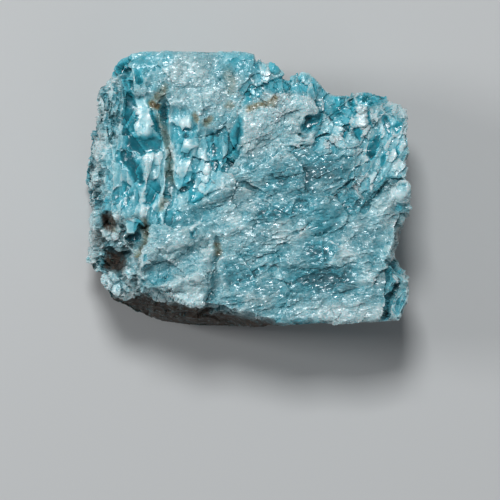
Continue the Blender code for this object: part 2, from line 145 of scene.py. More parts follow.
@dataclass
class Shards:
    """What each point knows about the shard that it lies on.

    Attributes:
        away: The point's offset from the shard's middle, in shard widths.
        gap: How far the point is from the next shard, in shard widths.
        luck: Four numbers from 0 to 1 that are the shard's own.
    """

    away: np.ndarray
    gap: np.ndarray
    luck: np.ndarray

    def faces(self, step: float, tilt: float) -> np.ndarray:
        """Gives each shard a flat face of its own height and lean.

        Args:
            step: How far the faces stand above and below each other.
            tilt: How far a face rises over one shard width.

        Returns:
            The height of the faces at each point.
        """
        lean = self.luck[:, 1 : 1 + self.away.shape[1]] - 0.5
        return step * (self.luck[:, 0] - 0.5) + 2 * tilt * (lean * self.away).sum(axis=1)


def shatter(points: np.ndarray, size: float, seed: int) -> Shards:
    """Splits the plane or the space into shards with straight edges.

    Args:
        points: Rows of two or three coordinates.
        size: The usual width of a shard.
        seed: Picks the pattern.

    Returns:
        The shard under each point.
    """
    scaled = points / size
    home = np.floor(scaled)
    axes = points.shape[1]
    nearest = np.full(len(points), np.inf)
    second = np.full(len(points), np.inf)
    owner = np.zeros_like(scaled)
    away = np.zeros_like(scaled)
    for shift in np.ndindex((3,) * axes):
        cell = home + np.array(shift) - 1
        offset = scaled - cell - luck(cell, seed)[:, :axes]
        distance = np.sqrt((offset**2).sum(axis=1))
        closer = distance < nearest
        second = np.where(closer, nearest, np.minimum(second, distance))
        nearest = np.where(closer, distance, nearest)
        owner[closer] = cell[closer]
        away[closer] = offset[closer]
    return Shards(away, second - nearest, luck(owner, seed + 1))


def stretched(x: np.ndarray, y: np.ndarray, bearing: float, stretch: float) -> np.ndarray:
    """Turns plan positions so that a pattern on them runs along a bearing, longer than it is wide.

    Args:
        x: Positions to the east.
        y: Positions to the north.
        bearing: The way that the pattern runs, in degrees from east to north.
        stretch: How many times longer than wide it is.

    Returns:
        Rows of two coordinates for the pattern.
    """
    turn = math.radians(bearing)
    along = x * math.cos(turn) + y * math.sin(turn)
    across = y * math.cos(turn) - x * math.sin(turn)
    return np.stack([along / stretch, across], axis=1)


def distance_to_path(x: np.ndarray, y: np.ndarray, path: Path) -> np.ndarray:
    """Measures how far each point is from an open path.

    Args:
        x: Positions to the east.
        y: Positions to the north.
        path: The path's corners.

    Returns:
        One distance for each point.
    """
    nearest = np.full(len(x), np.inf)
    for (x0, y0), (x1, y1) in zip(path, path[1:]):
        east, north = x1 - x0, y1 - y0
        along = ((x - x0) * east + (y - y0) * north) / (east**2 + north**2)
        along = np.clip(along, 0, 1)
        nearest = np.minimum(nearest, np.hypot(x - x0 - along * east, y - y0 - along * north))
    return nearest


def depth_inside(x: np.ndarray, y: np.ndarray, corners: Path) -> np.ndarray:
    """Measures how far each point is inside a closed shape.

    Args:
        x: Positions to the east.
        y: Positions to the north.
        corners: The shape's corners in order.

    Returns:
        One distance for each point, negative outside the shape.
    """
    inside = np.zeros(len(x), bool)
    closed = tuple(corners) + (corners[0],)
    for (x0, y0), (x1, y1) in zip(closed, closed[1:]):
        crosses = (y0 > y) != (y1 > y)
        rise = y1 - y0 if y1 != y0 else 1.0
        inside ^= crosses & (x < x0 + (y - y0) * (x1 - x0) / rise)
    return np.where(inside, 1, -1) * distance_to_path(x, y, closed)


class Habit(Enum):
    """The ways in which a part of the stone has broken."""

    FOLIATED = "thin plates, like scales, running up to the east-north-east"
    COLUMNS = "upright splinters that run from south to north"
    BLOCKS = "stubby crystals with flat faces"
    SUGARY = "a fine matte grain"
    LUMPS = "rounded knobs"
    SLANTED = "splinters that run down to the south-west"
    FIBRES = "silvery fibres that run from south to north"


@dataclass(frozen=True)
class Terrace:
    """A patch of the upper side with its own plane, habit and paleness.

    Attributes:
        name: What it is.
        rise: How far its plane is above the plateau at the patch's middle.
        east: The plane's rise for each millimetre to the east.
        north: The plane's rise for each millimetre to the north.
        edge: The width over which it meets what lies round it.
        habit: How it has broken.
        skin: How pale it is, from 0 for deep teal glass to 1 for white.
        corners: Its outline.
    """

    name: str
    rise: float
    east: float
    north: float
    edge: float
    habit: Habit
    skin: float
    corners: Path


@dataclass(frozen=True)
class Facet:
    """One flat face that stands above or below its surroundings.

    Attributes:
        name: What it is.
        rise: How far its middle is above what was there.
        east: Its lean to the east.
        north: Its lean to the north.
        edge: The width of its border.
        skin: How pale it is.
        corners: Its outline.
    """

    name: str
    rise: float
    east: float
    north: float
    edge: float
    skin: float
    corners: Path


@dataclass(frozen=True)
class Slope:
    """A flat fracture that carves away all that stands above it.

    Attributes:
        name: What it is.
        at: A point on it.
        toward: The way it falls, as an east and north pair.
        height: How high it is at that point.
        drop: How far it falls for each millimetre out.
        half_width: How far it runs to either side.
        end_rise: How fast it climbs past its ends.
    """

    name: str
    at: Place
    toward: Place
    height: float
    drop: float
    half_width: float
    end_rise: float = 4.0


@dataclass(frozen=True)
class Knob:
    """A rounded nub.

    Attributes:
        name: What it is.
        at: Its middle.
        radius: Its radius.
        height: The height of its top above the ground.
        skin: How pale it is.
    """

    name: str
    at: Place
    radius: float
    height: float
    skin: float


@dataclass(frozen=True)
class Groove:
    """An open crack.

    Attributes:
        name: What it is.
        depth: How deep it is along its middle.
        reach: How far its lip is from its middle.
        path: The way it runs.
        shade: How much painted shade, dark and blue, lies on its floor, from 0 to 1.
    """

    name: str
    depth: float
    reach: float
    path: Path
    shade: float = 0.6


@dataclass(frozen=True)
class Fold:
    """A soft ridge, or a soft valley where its rise is negative.

    Attributes:
        name: What it is.
        rise: How high it is along its middle.
        reach: How far its foot is from its middle.
        path: The way it runs.
    """

    name: str
    rise: float
    reach: float
    path: Path


@dataclass(frozen=True)
class Patch:
    """A place that is paler or bluer than its surroundings, with no shape of its own.

    Attributes:
        name: What it is.
        skin: How pale it is.
        edge: The width over which it fades.
        corners: Its outline.
        clear: How free it is of ash and flakes, from 0 to 1.
    """

    name: str
    skin: float
    edge: float
    corners: Path
    clear: float = 0.0


@dataclass(frozen=True)
class Stain:
    """A streak of rust or ochre.

    Attributes:
        name: What it is.
        strength: How strong it is, from 0 to 1.
        reach: How far it spreads from its path.
        path: The way it runs.
    """

    name: str
    strength: float
    reach: float
    path: Path


NORTH_EDGE = ((-10.2, 12.1), (-8.5, 12.3), (-0.1, 12.3), (0.7, 12.1))
NORTH_EAST_NUBS = (
    (0.9, 11.5), (1.5, 11.4), (1.8, 11.0), (2.2, 11.2), (2.7, 11.0), (3.1, 10.0), (3.8, 9.7),
    (4.5, 9.9), (4.6, 10.4), (5.1, 10.5), (5.7, 10.3), (6.5, 9.6), (7.0, 9.0), (7.9, 8.6),
    (9.5, 8.4), (10.0, 8.8), (10.9, 8.8), (12.3, 8.4), (12.8, 7.8), (13.8, 7.6), (14.3, 7.2),
)
EAST_EDGE = (
    (14.5, 5.9), (14.4, 4.2), (14.6, 3.2), (14.2, 2.4), (14.5, 1.9), (14.2, 0.9), (14.6, 0.2),
    (14.7, -1.1), (14.5, -2.4), (13.9, -4.2), (13.4, -6.1),
)
CHIP_EDGE = ((13.9, -6.8), (14.4, -7.9), (14.6, -9.1), (14.3, -10.6), (13.7, -11.8))
SOUTH_EDGE = (
    (11.8, -11.9), (8.3, -12.0), (4.7, -12.2), (0.3, -12.4), (-4.6, -12.4), (-7.7, -12.0),
    (-9.9, -11.2), (-12.1, -10.0),
)
WEST_EDGE = (
    (-13.0, -8.8), (-13.2, -8.1), (-13.1, -7.5), (-13.9, -7.3), (-14.4, -6.0), (-14.0, -4.8),
    (-14.3, -3.5), (-14.0, -1.6), (-14.6, 0.6), (-14.7, 2.0), (-14.2, 3.7), (-13.9, 5.6),
    (-13.4, 7.0), (-13.0, 8.8), (-12.0, 9.9), (-11.2, 11.4),
)
OUTLINE = NORTH_EDGE + NORTH_EAST_NUBS + EAST_EDGE + CHIP_EDGE + SOUTH_EDGE + WEST_EDGE

TERRACES = (
    Terrace("west margin", 0.00, 0.00, 0.00, 0.8, Habit.FIBRES, 0.78, (
        (-16.0, 10.2), (-11.2, 10.2), (-11.0, 7.0), (-11.2, 3.9), (-12.6, 3.0), (-12.9, 0.0),
        (-13.2, -2.5), (-16.0, -2.5))),
    Terrace("south terrace", -0.38, 0.00, 0.02, 3.0, Habit.FOLIATED, 0.64, (
        (-2.2, -8.9), (0.5, -8.9), (4.7, -8.1), (7.4, -8.9), (10.2, -8.4), (12.3, -6.5),
        (12.3, -7.7), (11.8, -13.4), (-2.5, -13.4), (-3.4, -10.9))),
    Terrace("grey shoulder", 0.40, 0.02, 0.08, 0.8, Habit.SUGARY, 0.82, (
        (-0.3, 7.2), (1.4, 8.7), (3.8, 8.6), (5.9, 8.4), (6.5, 7.4), (6.2, 6.2), (5.1, 5.9),
        (5.7, 4.3), (3.4, 3.3), (0.0, 3.1), (-0.6, 5.2))),
    Terrace("north strip", -0.25, 0.00, -0.20, 0.5, Habit.BLOCKS, 0.47, (
        (1.0, 12.8), (4.7, 11.4), (7.4, 9.6), (6.2, 8.2), (3.8, 8.8), (1.4, 8.8), (-0.3, 7.3),
        (-0.6, 8.9), (1.0, 10.0))),
    Terrace("bay", -0.50, 0.05, 0.00, 1.2, Habit.COLUMNS, 0.64, (
        (-10.8, 8.6), (-8.7, 8.3), (-6.9, 7.4), (-5.0, 7.2), (-3.9, 5.4), (-2.6, 5.0), (-1.2, 6.0), (-0.8, 3.5),
        (-2.2, 0.8), (-4.5, -1.2), (-5.7, -1.2), (-6.8, -3.5), (-9.4, -2.9), (-11.4, -2.2),
        (-13.0, -1.7), (-12.8, 3.5), (-11.0, 4.3))),
    Terrace("bay wing", -1.25, 0.28, 0.00, 0.6, Habit.COLUMNS, 0.64, (
        (-12.9, 3.3), (-11.4, 3.5), (-10.3, 3.3), (-9.6, 1.0), (-10.5, -2.0), (-13.0, -1.6))),
    Terrace("pale cell", -0.35, 0.05, -0.14, 0.8, Habit.COLUMNS, 0.82, (
        (-10.4, 8.1), (-8.5, 8.2), (-8.2, 6.3), (-8.5, 4.5), (-10.2, 4.6))),
    Terrace("deep cell", -0.62, 0.00, 0.00, 0.90, Habit.SUGARY, 0.16, (
        (-10.4, 4.5), (-7.4, 4.4), (-7.5, 3.2), (-9.7, 3.2), (-10.4, 3.5))),
    Terrace("lower cell", -0.70, 0.00, 0.05, 0.4, Habit.COLUMNS, 0.66, (
        (-10.0, 3.1), (-7.6, 3.2), (-7.6, 1.0), (-8.5, -1.4), (-10.5, -2.0), (-9.6, 1.0))),
    Terrace("top block", 0.10, 0.00, 0.03, 1.40, Habit.SUGARY, 0.66, (
        (-12.0, 10.0), (-11.0, 14.0), (0.8, 14.0), (1.0, 10.0), (-0.6, 8.9), (-0.9, 6.6),
        (-1.2, 6.0), (-2.6, 5.0), (-3.9, 5.4), (-5.0, 7.2), (-6.9, 7.4), (-8.7, 8.5), (-10.5, 8.9))),
    Terrace("south-west ledge", -3.20, 0.20, 0.05, 1.5, Habit.LUMPS, 0.84, (
        (-16.5, -2.1), (-13.0, -1.7), (-11.4, -2.2), (-9.4, -2.9), (-8.5, -3.1), (-10.0, -5.9),
        (-9.7, -7.6), (-9.2, -8.9), (-11.2, -13.5), (-16.5, -13.5))),
    Terrace("blue block", -1.40, 0.00, 0.10, 0.45, Habit.SUGARY, 0.45, (
        (-10.9, -2.8), (-9.3, -2.7), (-9.4, -3.8), (-10.0, -4.2), (-10.9, -4.2))),
    Terrace("upper cavity", -4.00, 0.00, 0.00, 0.9, Habit.LUMPS, 0.20, (
        (-13.3, -2.0), (-12.1, -2.5), (-12.0, -3.5), (-13.0, -3.3))),
    Terrace("lower cavity", -4.60, 0.00, 0.00, 1.0, Habit.LUMPS, 0.20, (
        (-13.1, -5.6), (-10.8, -5.9), (-11.1, -7.1), (-12.9, -7.1))),
    Terrace("hump", 0.30, 0.00, 0.00, 1.2, Habit.SUGARY, 0.72, (
        (-9.7, -6.5), (-8.9, -4.5), (-7.5, -3.3), (-5.0, -3.1), (-2.9, -4.0), (-2.5, -5.4),
        (-3.2, -6.6), (-2.9, -7.9), (-3.3, -9.4), (-4.2, -11.4), (-5.0, -11.4), (-7.7, -10.8), (-9.4, -9.6),
        (-9.8, -7.6))),
    Terrace("hollow", -0.45, 0.00, 0.00, 1.1, Habit.SUGARY, 0.30, (
        (-1.8, -6.8), (1.1, -7.2), (0.3, -8.8), (-1.5, -8.7))),
    Terrace("blue gulf", -0.60, 0.00, -0.05, 0.5, Habit.BLOCKS, 0.64, (
        (6.3, 9.6), (9.5, 9.8), (9.5, 6.3), (9.2, 4.3), (7.9, 3.5), (6.0, 3.8), (6.4, 5.9))),
    Terrace("dark pit", -0.22, 0.00, 0.00, 0.5, Habit.SUGARY, 0.12, (
        (5.0, 6.1), (6.4, 6.4), (6.2, 5.3), (5.2, 5.3))),
    Terrace("north-east block", -0.45, -0.12, 0.00, 0.4, Habit.SLANTED, 0.92, (
        (9.5, 9.8), (15.9, 9.2), (15.9, 0.8), (12.3, 1.0), (10.0, -1.0), (8.6, 0.3), (10.2, 2.6),
        (9.3, 5.2))),
    Terrace("east lobe", -0.25, -0.06, -0.06, 0.8, Habit.FOLIATED, 0.88, (
        (12.2, 0.4), (16.0, 0.4), (16.0, -2.0), (13.6, -4.5), (12.9, -6.5), (11.1, -8.2),
        (8.3, -8.8), (7.4, -6.5), (8.8, -4.2), (10.4, -1.9), (11.5, -0.8))),
    Terrace("chip head", -0.55, -0.10, 0.00, 0.30, Habit.SLANTED, 0.74, (
        (12.5, -6.9), (13.5, -6.2), (14.4, -7.2), (13.2, -8.8), (12.6, -10.2), (12.4, -8.4))),
    Terrace("chip", -0.90, -0.12, 0.00, 0.30, Habit.SLANTED, 0.97, (
        (14.1, -7.1), (16.4, -8.9), (14.3, -13.5), (11.8, -13.5), (12.4, -10.6), (13.1, -8.8))),
)

FACETS = (
    Facet("north-west glass face", -0.72, 0.63, -0.63, 0.33, 0.09, (
        (-10.3, 12.2), (-11.1, 11.6), (-11.5, 10.9), (-12.0, 10.0), (-11.1, 10.1), (-10.5, 10.9),
        (-10.0, 11.7))),
    Facet("blue edge strip", -0.40, -0.15, 0.0, 0.50, 0.12, (
        (-11.0, 9.9), (-10.2, 9.7), (-9.8, 8.0), (-9.9, 6.4), (-9.8, 4.8), (-10.5, 4.6),
        (-10.9, 6.3), (-10.8, 8.1))),
    Facet("turquoise window", -0.14, 0.07, 0.10, 0.30, 0.20, (
        (-9.6, 10.5), (-9.1, 10.5), (-9.2, 9.6), (-9.5, 9.6))),
    Facet("cell column", 0.05, 0.0, -0.07, 1.10, 0.76, (
        (-9.8, 8.1), (-8.7, 8.1), (-8.6, 7.0), (-8.3, 5.7), (-8.0, 4.6), (-9.2, 4.5),
        (-9.6, 5.9), (-9.8, 7.0))),
    Facet("cell column ridge", 0.10, 0.04, -0.12, 0.90, 0.78, (
        (-9.4, 7.5), (-8.9, 7.3), (-8.7, 5.8), (-8.9, 5.0), (-9.3, 5.8))),
    Facet("cell east slope", -0.3, -0.42, 0.0, 0.26, 0.26, (
        (-8.6, 7.9), (-8.3, 6.8), (-7.8, 5.7), (-7.7, 4.5), (-8.3, 5.2), (-8.6, 6.8))),
    Facet("deep cell pool", -0.05, 0.03, 0.06, 0.45, 0.12, (
        (-10.4, 4.8), (-9.6, 4.6), (-7.7, 4.6), (-7.7, 3.3), (-9.6, 3.15), (-10.4, 3.4))),
    Facet("deep cell corner", -0.10, 0.10, 0.0, 0.40, 0.02, (
        (-10.5, 4.7), (-9.8, 4.6), (-9.6, 3.4), (-10.5, 3.4))),
    Facet("blue leaf", -0.12, 0.12, 0.05, 0.40, 0.06, (
        (-11.0, 3.1), (-10.4, 3.2), (-9.9, 2.9), (-9.2, 1.4), (-9.1, 0.7), (-9.6, 0.4),
        (-10.4, 1.3), (-11.2, 2.5))),
    Facet("lower blue leaf", -0.14, 0.12, 0.07, 0.45, 0.16, (
        (-8.5, 0.8), (-7.8, 1.0), (-7.9, -0.6), (-8.5, -1.4), (-9.4, -1.4), (-9.2, -0.5))),
    # The glint blocks lean towards the key lamp and really catch its glint; their near-white skin also paints the
    # highlight.
    Facet("first glint block", 0.15, 0.04, -0.24, 0.45, 0.86, (
        (-6.8, 6.3), (-6.3, 6.4), (-6.2, 5.6), (-6.7, 5.6))),
    Facet("second glint block", 0.15, 0.04, -0.26, 0.60, 0.86, (
        (-6.1, 6.4), (-5.1, 6.5), (-5.0, 5.4), (-5.7, 5.2), (-6.1, 5.7))),
    Facet("third glint block", 0.15, 0.06, -0.22, 0.45, 0.88, (
        (-4.7, 6.3), (-4.2, 6.1), (-4.2, 5.2), (-4.5, 5.1))),
    Facet("fourth glint block", 0.15, 0.02, -0.24, 0.60, 0.84, (
        (-5.6, 4.5), (-4.7, 4.6), (-4.6, 3.7), (-5.4, 3.5))),
    Facet("fifth glint block", 0.18, 0.04, -0.22, 0.70, 0.84, (
        (-6.1, 2.6), (-4.8, 2.6), (-4.6, 1.5), (-5.6, 1.2), (-6.2, 1.9))),
    Facet("sixth glint block", 0.12, 0.05, -0.24, 0.45, 0.86, (
        (-4.5, 2.0), (-3.6, 2.2), (-3.5, 1.7), (-4.4, 1.5))),
    Facet("seventh glint block", 0.12, 0.05, -0.24, 0.45, 0.84, (
        (-4.0, 1.3), (-3.4, 1.4), (-3.5, 0.8), (-4.0, 0.7))),
    Facet("hanging block", 0.10, 0.07, -0.08, 0.70, 0.46, (
        (-6.6, 1.5), (-6.1, 0.1), (-4.7, 0.6), (-4.6, 1.6), (-5.4, 1.2))),
    Facet("seam leaf", -0.10, 0.14, 0.00, 0.45, 0.14, (
        (-0.8, 6.5), (-0.3, 6.4), (-0.5, 4.6), (-0.9, 3.4), (-1.5, 2.3), (-2.0, 2.5),
        (-1.3, 4.2))),
    Facet("bay foot face", 0.12, 0.14, 0.12, 0.26, 0.25, (
        (-5.4, 0.3), (-3.8, -0.5), (-4.4, -1.4), (-5.0, -1.0))),
    Facet("bay foot plate", 0.18, 0.04, -0.20, 0.26, 0.75, (
        (-4.5, 0.2), (-3.1, 0.4), (-2.5, 0.3), (-3.7, -0.6), (-3.8, -0.5))),
    Facet("wing window", -0.18, 0.21, 0.0, 0.26, 0.1, (
        (-13.1, -0.8), (-12.6, -0.7), (-12.4, -2.3), (-13.1, -2.1))),
    Facet("wing strip", -0.12, 0.14, 0.0, 0.26, 0.18, (
        (-10.9, 0.4), (-10.3, 0.2), (-10.5, -1.4), (-11.0, -1.7))),
    Facet("blue block pale half", 0.21, 0.17, -0.07, 0.26, 0.7, (
        (-10.8, -2.9), (-10.0, -2.7), (-9.9, -2.9), (-10.0, -4.0), (-10.7, -4.2), (-11.0, -3.9))),
    Facet("blue block deep half", 0.18, -0.17, -0.07, 0.26, 0.25, (
        (-9.9, -2.9), (-9.2, -2.9), (-9.5, -4.0), (-10.0, -4.0))),
    Facet("block shade", -0.20, 0.0, 0.0, 0.30, 0.20, (
        (-11.0, -4.2), (-9.6, -4.2), (-9.8, -4.6), (-10.8, -4.6))),
    Facet("hump pit", -0.24, 0.0, 0.0, 0.26, 0.14, (
        (-9.2, -5.8), (-8.9, -5.8), (-8.9, -6.3), (-9.2, -6.3))),
    # The hump glint and the steep glint lean towards a lamp and really glint; their white skin also paints the
    # highlight.
    Facet("hump glint", 0.07, 0.04, -0.24, 0.26, 1.0, (
        (-5.1, -3.5), (-4.2, -2.7), (-4.1, -3.0), (-4.9, -3.7))),
    Facet("hump spot", -0.15, 0.0, 0.0, 0.26, 0.1, (
        (-5.2, -3.8), (-4.6, -3.8), (-4.7, -4.2), (-5.1, -4.2))),
    Facet("steep glint", 0.24, 0.42, -0.10, 0.26, 1.0, (
        (-10.8, -6.6), (-10.2, -6.5), (-10.0, -7.7), (-10.6, -8.2), (-10.8, -7.6))),
    Facet("shoulder pit", -0.10, 0.0, -0.07, 0.50, 0.12, (
        (5.2, 5.9), (6.2, 6.0), (6.0, 5.5), (5.3, 5.4))),
    Facet("gulf east face", -0.22, -0.20, 0.0, 0.35, 0.12, (
        (9.2, 8.3), (9.7, 8.1), (9.7, 6.8), (9.2, 6.5))),
    Facet("gulf column", 0.18, 0.14, 0.07, 0.40, 0.26, (
        (7.7, 8.2), (8.4, 8.3), (8.5, 7.0), (7.8, 6.8))),
    # These glint faces lean towards the key lamp and really glint; their near-white skin also paints the
    # highlight.
    Facet("gulf white edge", 0.15, 0.05, -0.24, 0.26, 1.0, (
        (9.5, 8.3), (9.9, 8.1), (10.1, 7.3), (9.8, 6.9))),
    Facet("gulf white block", 0.16, 0.04, -0.24, 0.26, 0.95, (
        (9.5, 6.8), (10.2, 7.0), (10.4, 5.9), (9.7, 5.8))),
    Facet("block gap", -0.15, 0.0, 0.0, 0.20, 0.30, (
        (10.5, 7.0), (10.8, 7.0), (10.9, 5.6), (10.6, 5.6))),
    Facet("second white block", 0.16, 0.03, -0.24, 0.26, 0.93, (
        (11.0, 6.9), (11.7, 6.9), (11.7, 5.9), (11.1, 5.8))),
    Facet("turquoise corner", 0.06, 0.07, -0.10, 0.40, 0.28, (
        (9.9, 8.3), (11.1, 8.6), (12.5, 8.3), (11.8, 7.5), (10.5, 7.3), (10.0, 7.8))),
    Facet("gulf window", -0.3, 0.14, 0.0, 0.26, 0.08, (
        (8.2, 5.7), (9.1, 5.8), (9.2, 5.0), (8.5, 4.9))),
    Facet("first deep facet", -0.16, 0.22, 0.0, 0.30, 0.12, (
        (9.5, 5.4), (9.9, 5.7), (10.3, 4.9), (10.2, 4.2), (9.8, 4.1), (9.5, 4.7))),
    Facet("second deep facet", -0.20, 0.28, 0.0, 0.30, 0.10, (
        (10.9, 4.3), (11.3, 4.8), (11.7, 4.7), (11.7, 3.9), (11.3, 3.0), (10.9, 2.8), (10.7, 3.2))),
    Facet("third deep facet", -0.16, 0.22, 0.0, 0.30, 0.14, (
        (12.1, 6.4), (12.5, 6.5), (12.8, 5.6), (12.6, 4.6), (12.3, 4.5), (12.1, 5.3))),
    Facet("fourth deep facet", -0.14, 0.18, 0.14, 0.30, 0.18, (
        (12.9, 5.3), (13.3, 5.9), (13.8, 6.1), (13.7, 5.4), (13.2, 4.8))),
    Facet("fifth deep facet", -0.14, 0.18, 0.0, 0.30, 0.16, (
        (11.9, 3.0), (12.3, 3.4), (12.5, 3.0), (12.3, 2.0), (11.9, 1.9))),
    Facet("sixth deep facet", -0.12, 0.18, 0.0, 0.30, 0.20, (
        (13.2, 3.6), (13.6, 3.8), (13.7, 3.2), (13.4, 2.6), (13.2, 2.8))),
    # The lobe crown leans towards the key lamp; it and the curved lip below are near white, partly pale skin,
    # partly a painted highlight.
    Facet("lobe crown", 0.21, 0.02, -0.18, 0.39, 0.97, (
        (12.3, -0.1), (14.0, 0.5), (14.6, -0.1), (14.3, -0.8), (12.7, -1.0))),
    Facet("lobe window", -0.12, 0.16, 0.0, 0.40, 0.30, (
        (13.2, -0.8), (13.7, -0.7), (13.8, -1.9), (13.2, -2.0))),
    Facet("curved lip", 0.11, 0.0, 0.0, 0.26, 0.95, (
        (7.4, -4.4), (8.1, -4.7), (8.5, -5.4), (8.0, -5.9), (7.8, -5.8), (8.2, -5.3),
        (7.9, -5.0), (7.3, -4.7))),
)

SLOPES = (
    Slope("west shoulder", (-11.0, 3.0), (-1.0, 0.05), 11.6, 1.1, 7.5),
    Slope("west flank", (-12.7, 2.0), (-1.0, 0.0), 9.8, 3.6, 9.0),
    Slope("north-west facet", (-10.6, 10.9), (-0.85, 0.53), 13.0, 2.4, 4.0),
    Slope("brown south face", (-5.5, -9.9), (-0.215, -0.977), 11.7, 3.7, 11.0),
    Slope("south-west corner", (-11.9, -9.3), (-0.62, -0.78), 8.6, 4.0, 3.5),
    Slope("east face", (13.0, -4.3), (0.94, -0.33), 11.6, 4.0, 2.2, 9.0),
    Slope("north-east fall", (12.6, 6.6), (0.60, 0.80), 11.6, 1.2, 4.0),
)

KNOBS = (
    Knob("south-west nub", (-12.4, -8.1), 0.95, 9.1, 1.0),
    Knob("south-west second nub", (-11.1, -8.1), 0.65, 9.1, 1.0),
    Knob("pale lump", (-11.9, -4.0), 0.9, 9.7, 0.85),
    Knob("pale second lump", (-11.3, -4.9), 0.95, 9.6, 0.9),
    Knob("steep lump", (-10.4, -7.4), 0.9, 10.6, 0.97),
    Knob("north nub", (2.5, 10.8), 0.55, 12.4, 0.4),
    Knob("north second nub", (5.1, 10.0), 0.65, 12.2, 0.5),
    Knob("north third nub", (6.2, 9.4), 0.60, 12.1, 0.6),
    Knob("north-east ridge", (10.6, 8.3), 0.9, 12.1, 0.2),
    Knob("lobe tip", (13.9, -0.4), 1.3, 12.4, 0.85),
    Knob("bay crystal", (-5.6, 2.0), 0.95, 12.0, 0.65),
    Knob("bay second crystal", (-5.7, 6.0), 0.85, 12.1, 0.65),
    Knob("bay third crystal", (-4.2, 5.4), 0.8, 12.1, 0.65),
    Knob("bay fourth crystal", (-4.1, 2.0), 0.8, 11.9, 0.6),
)

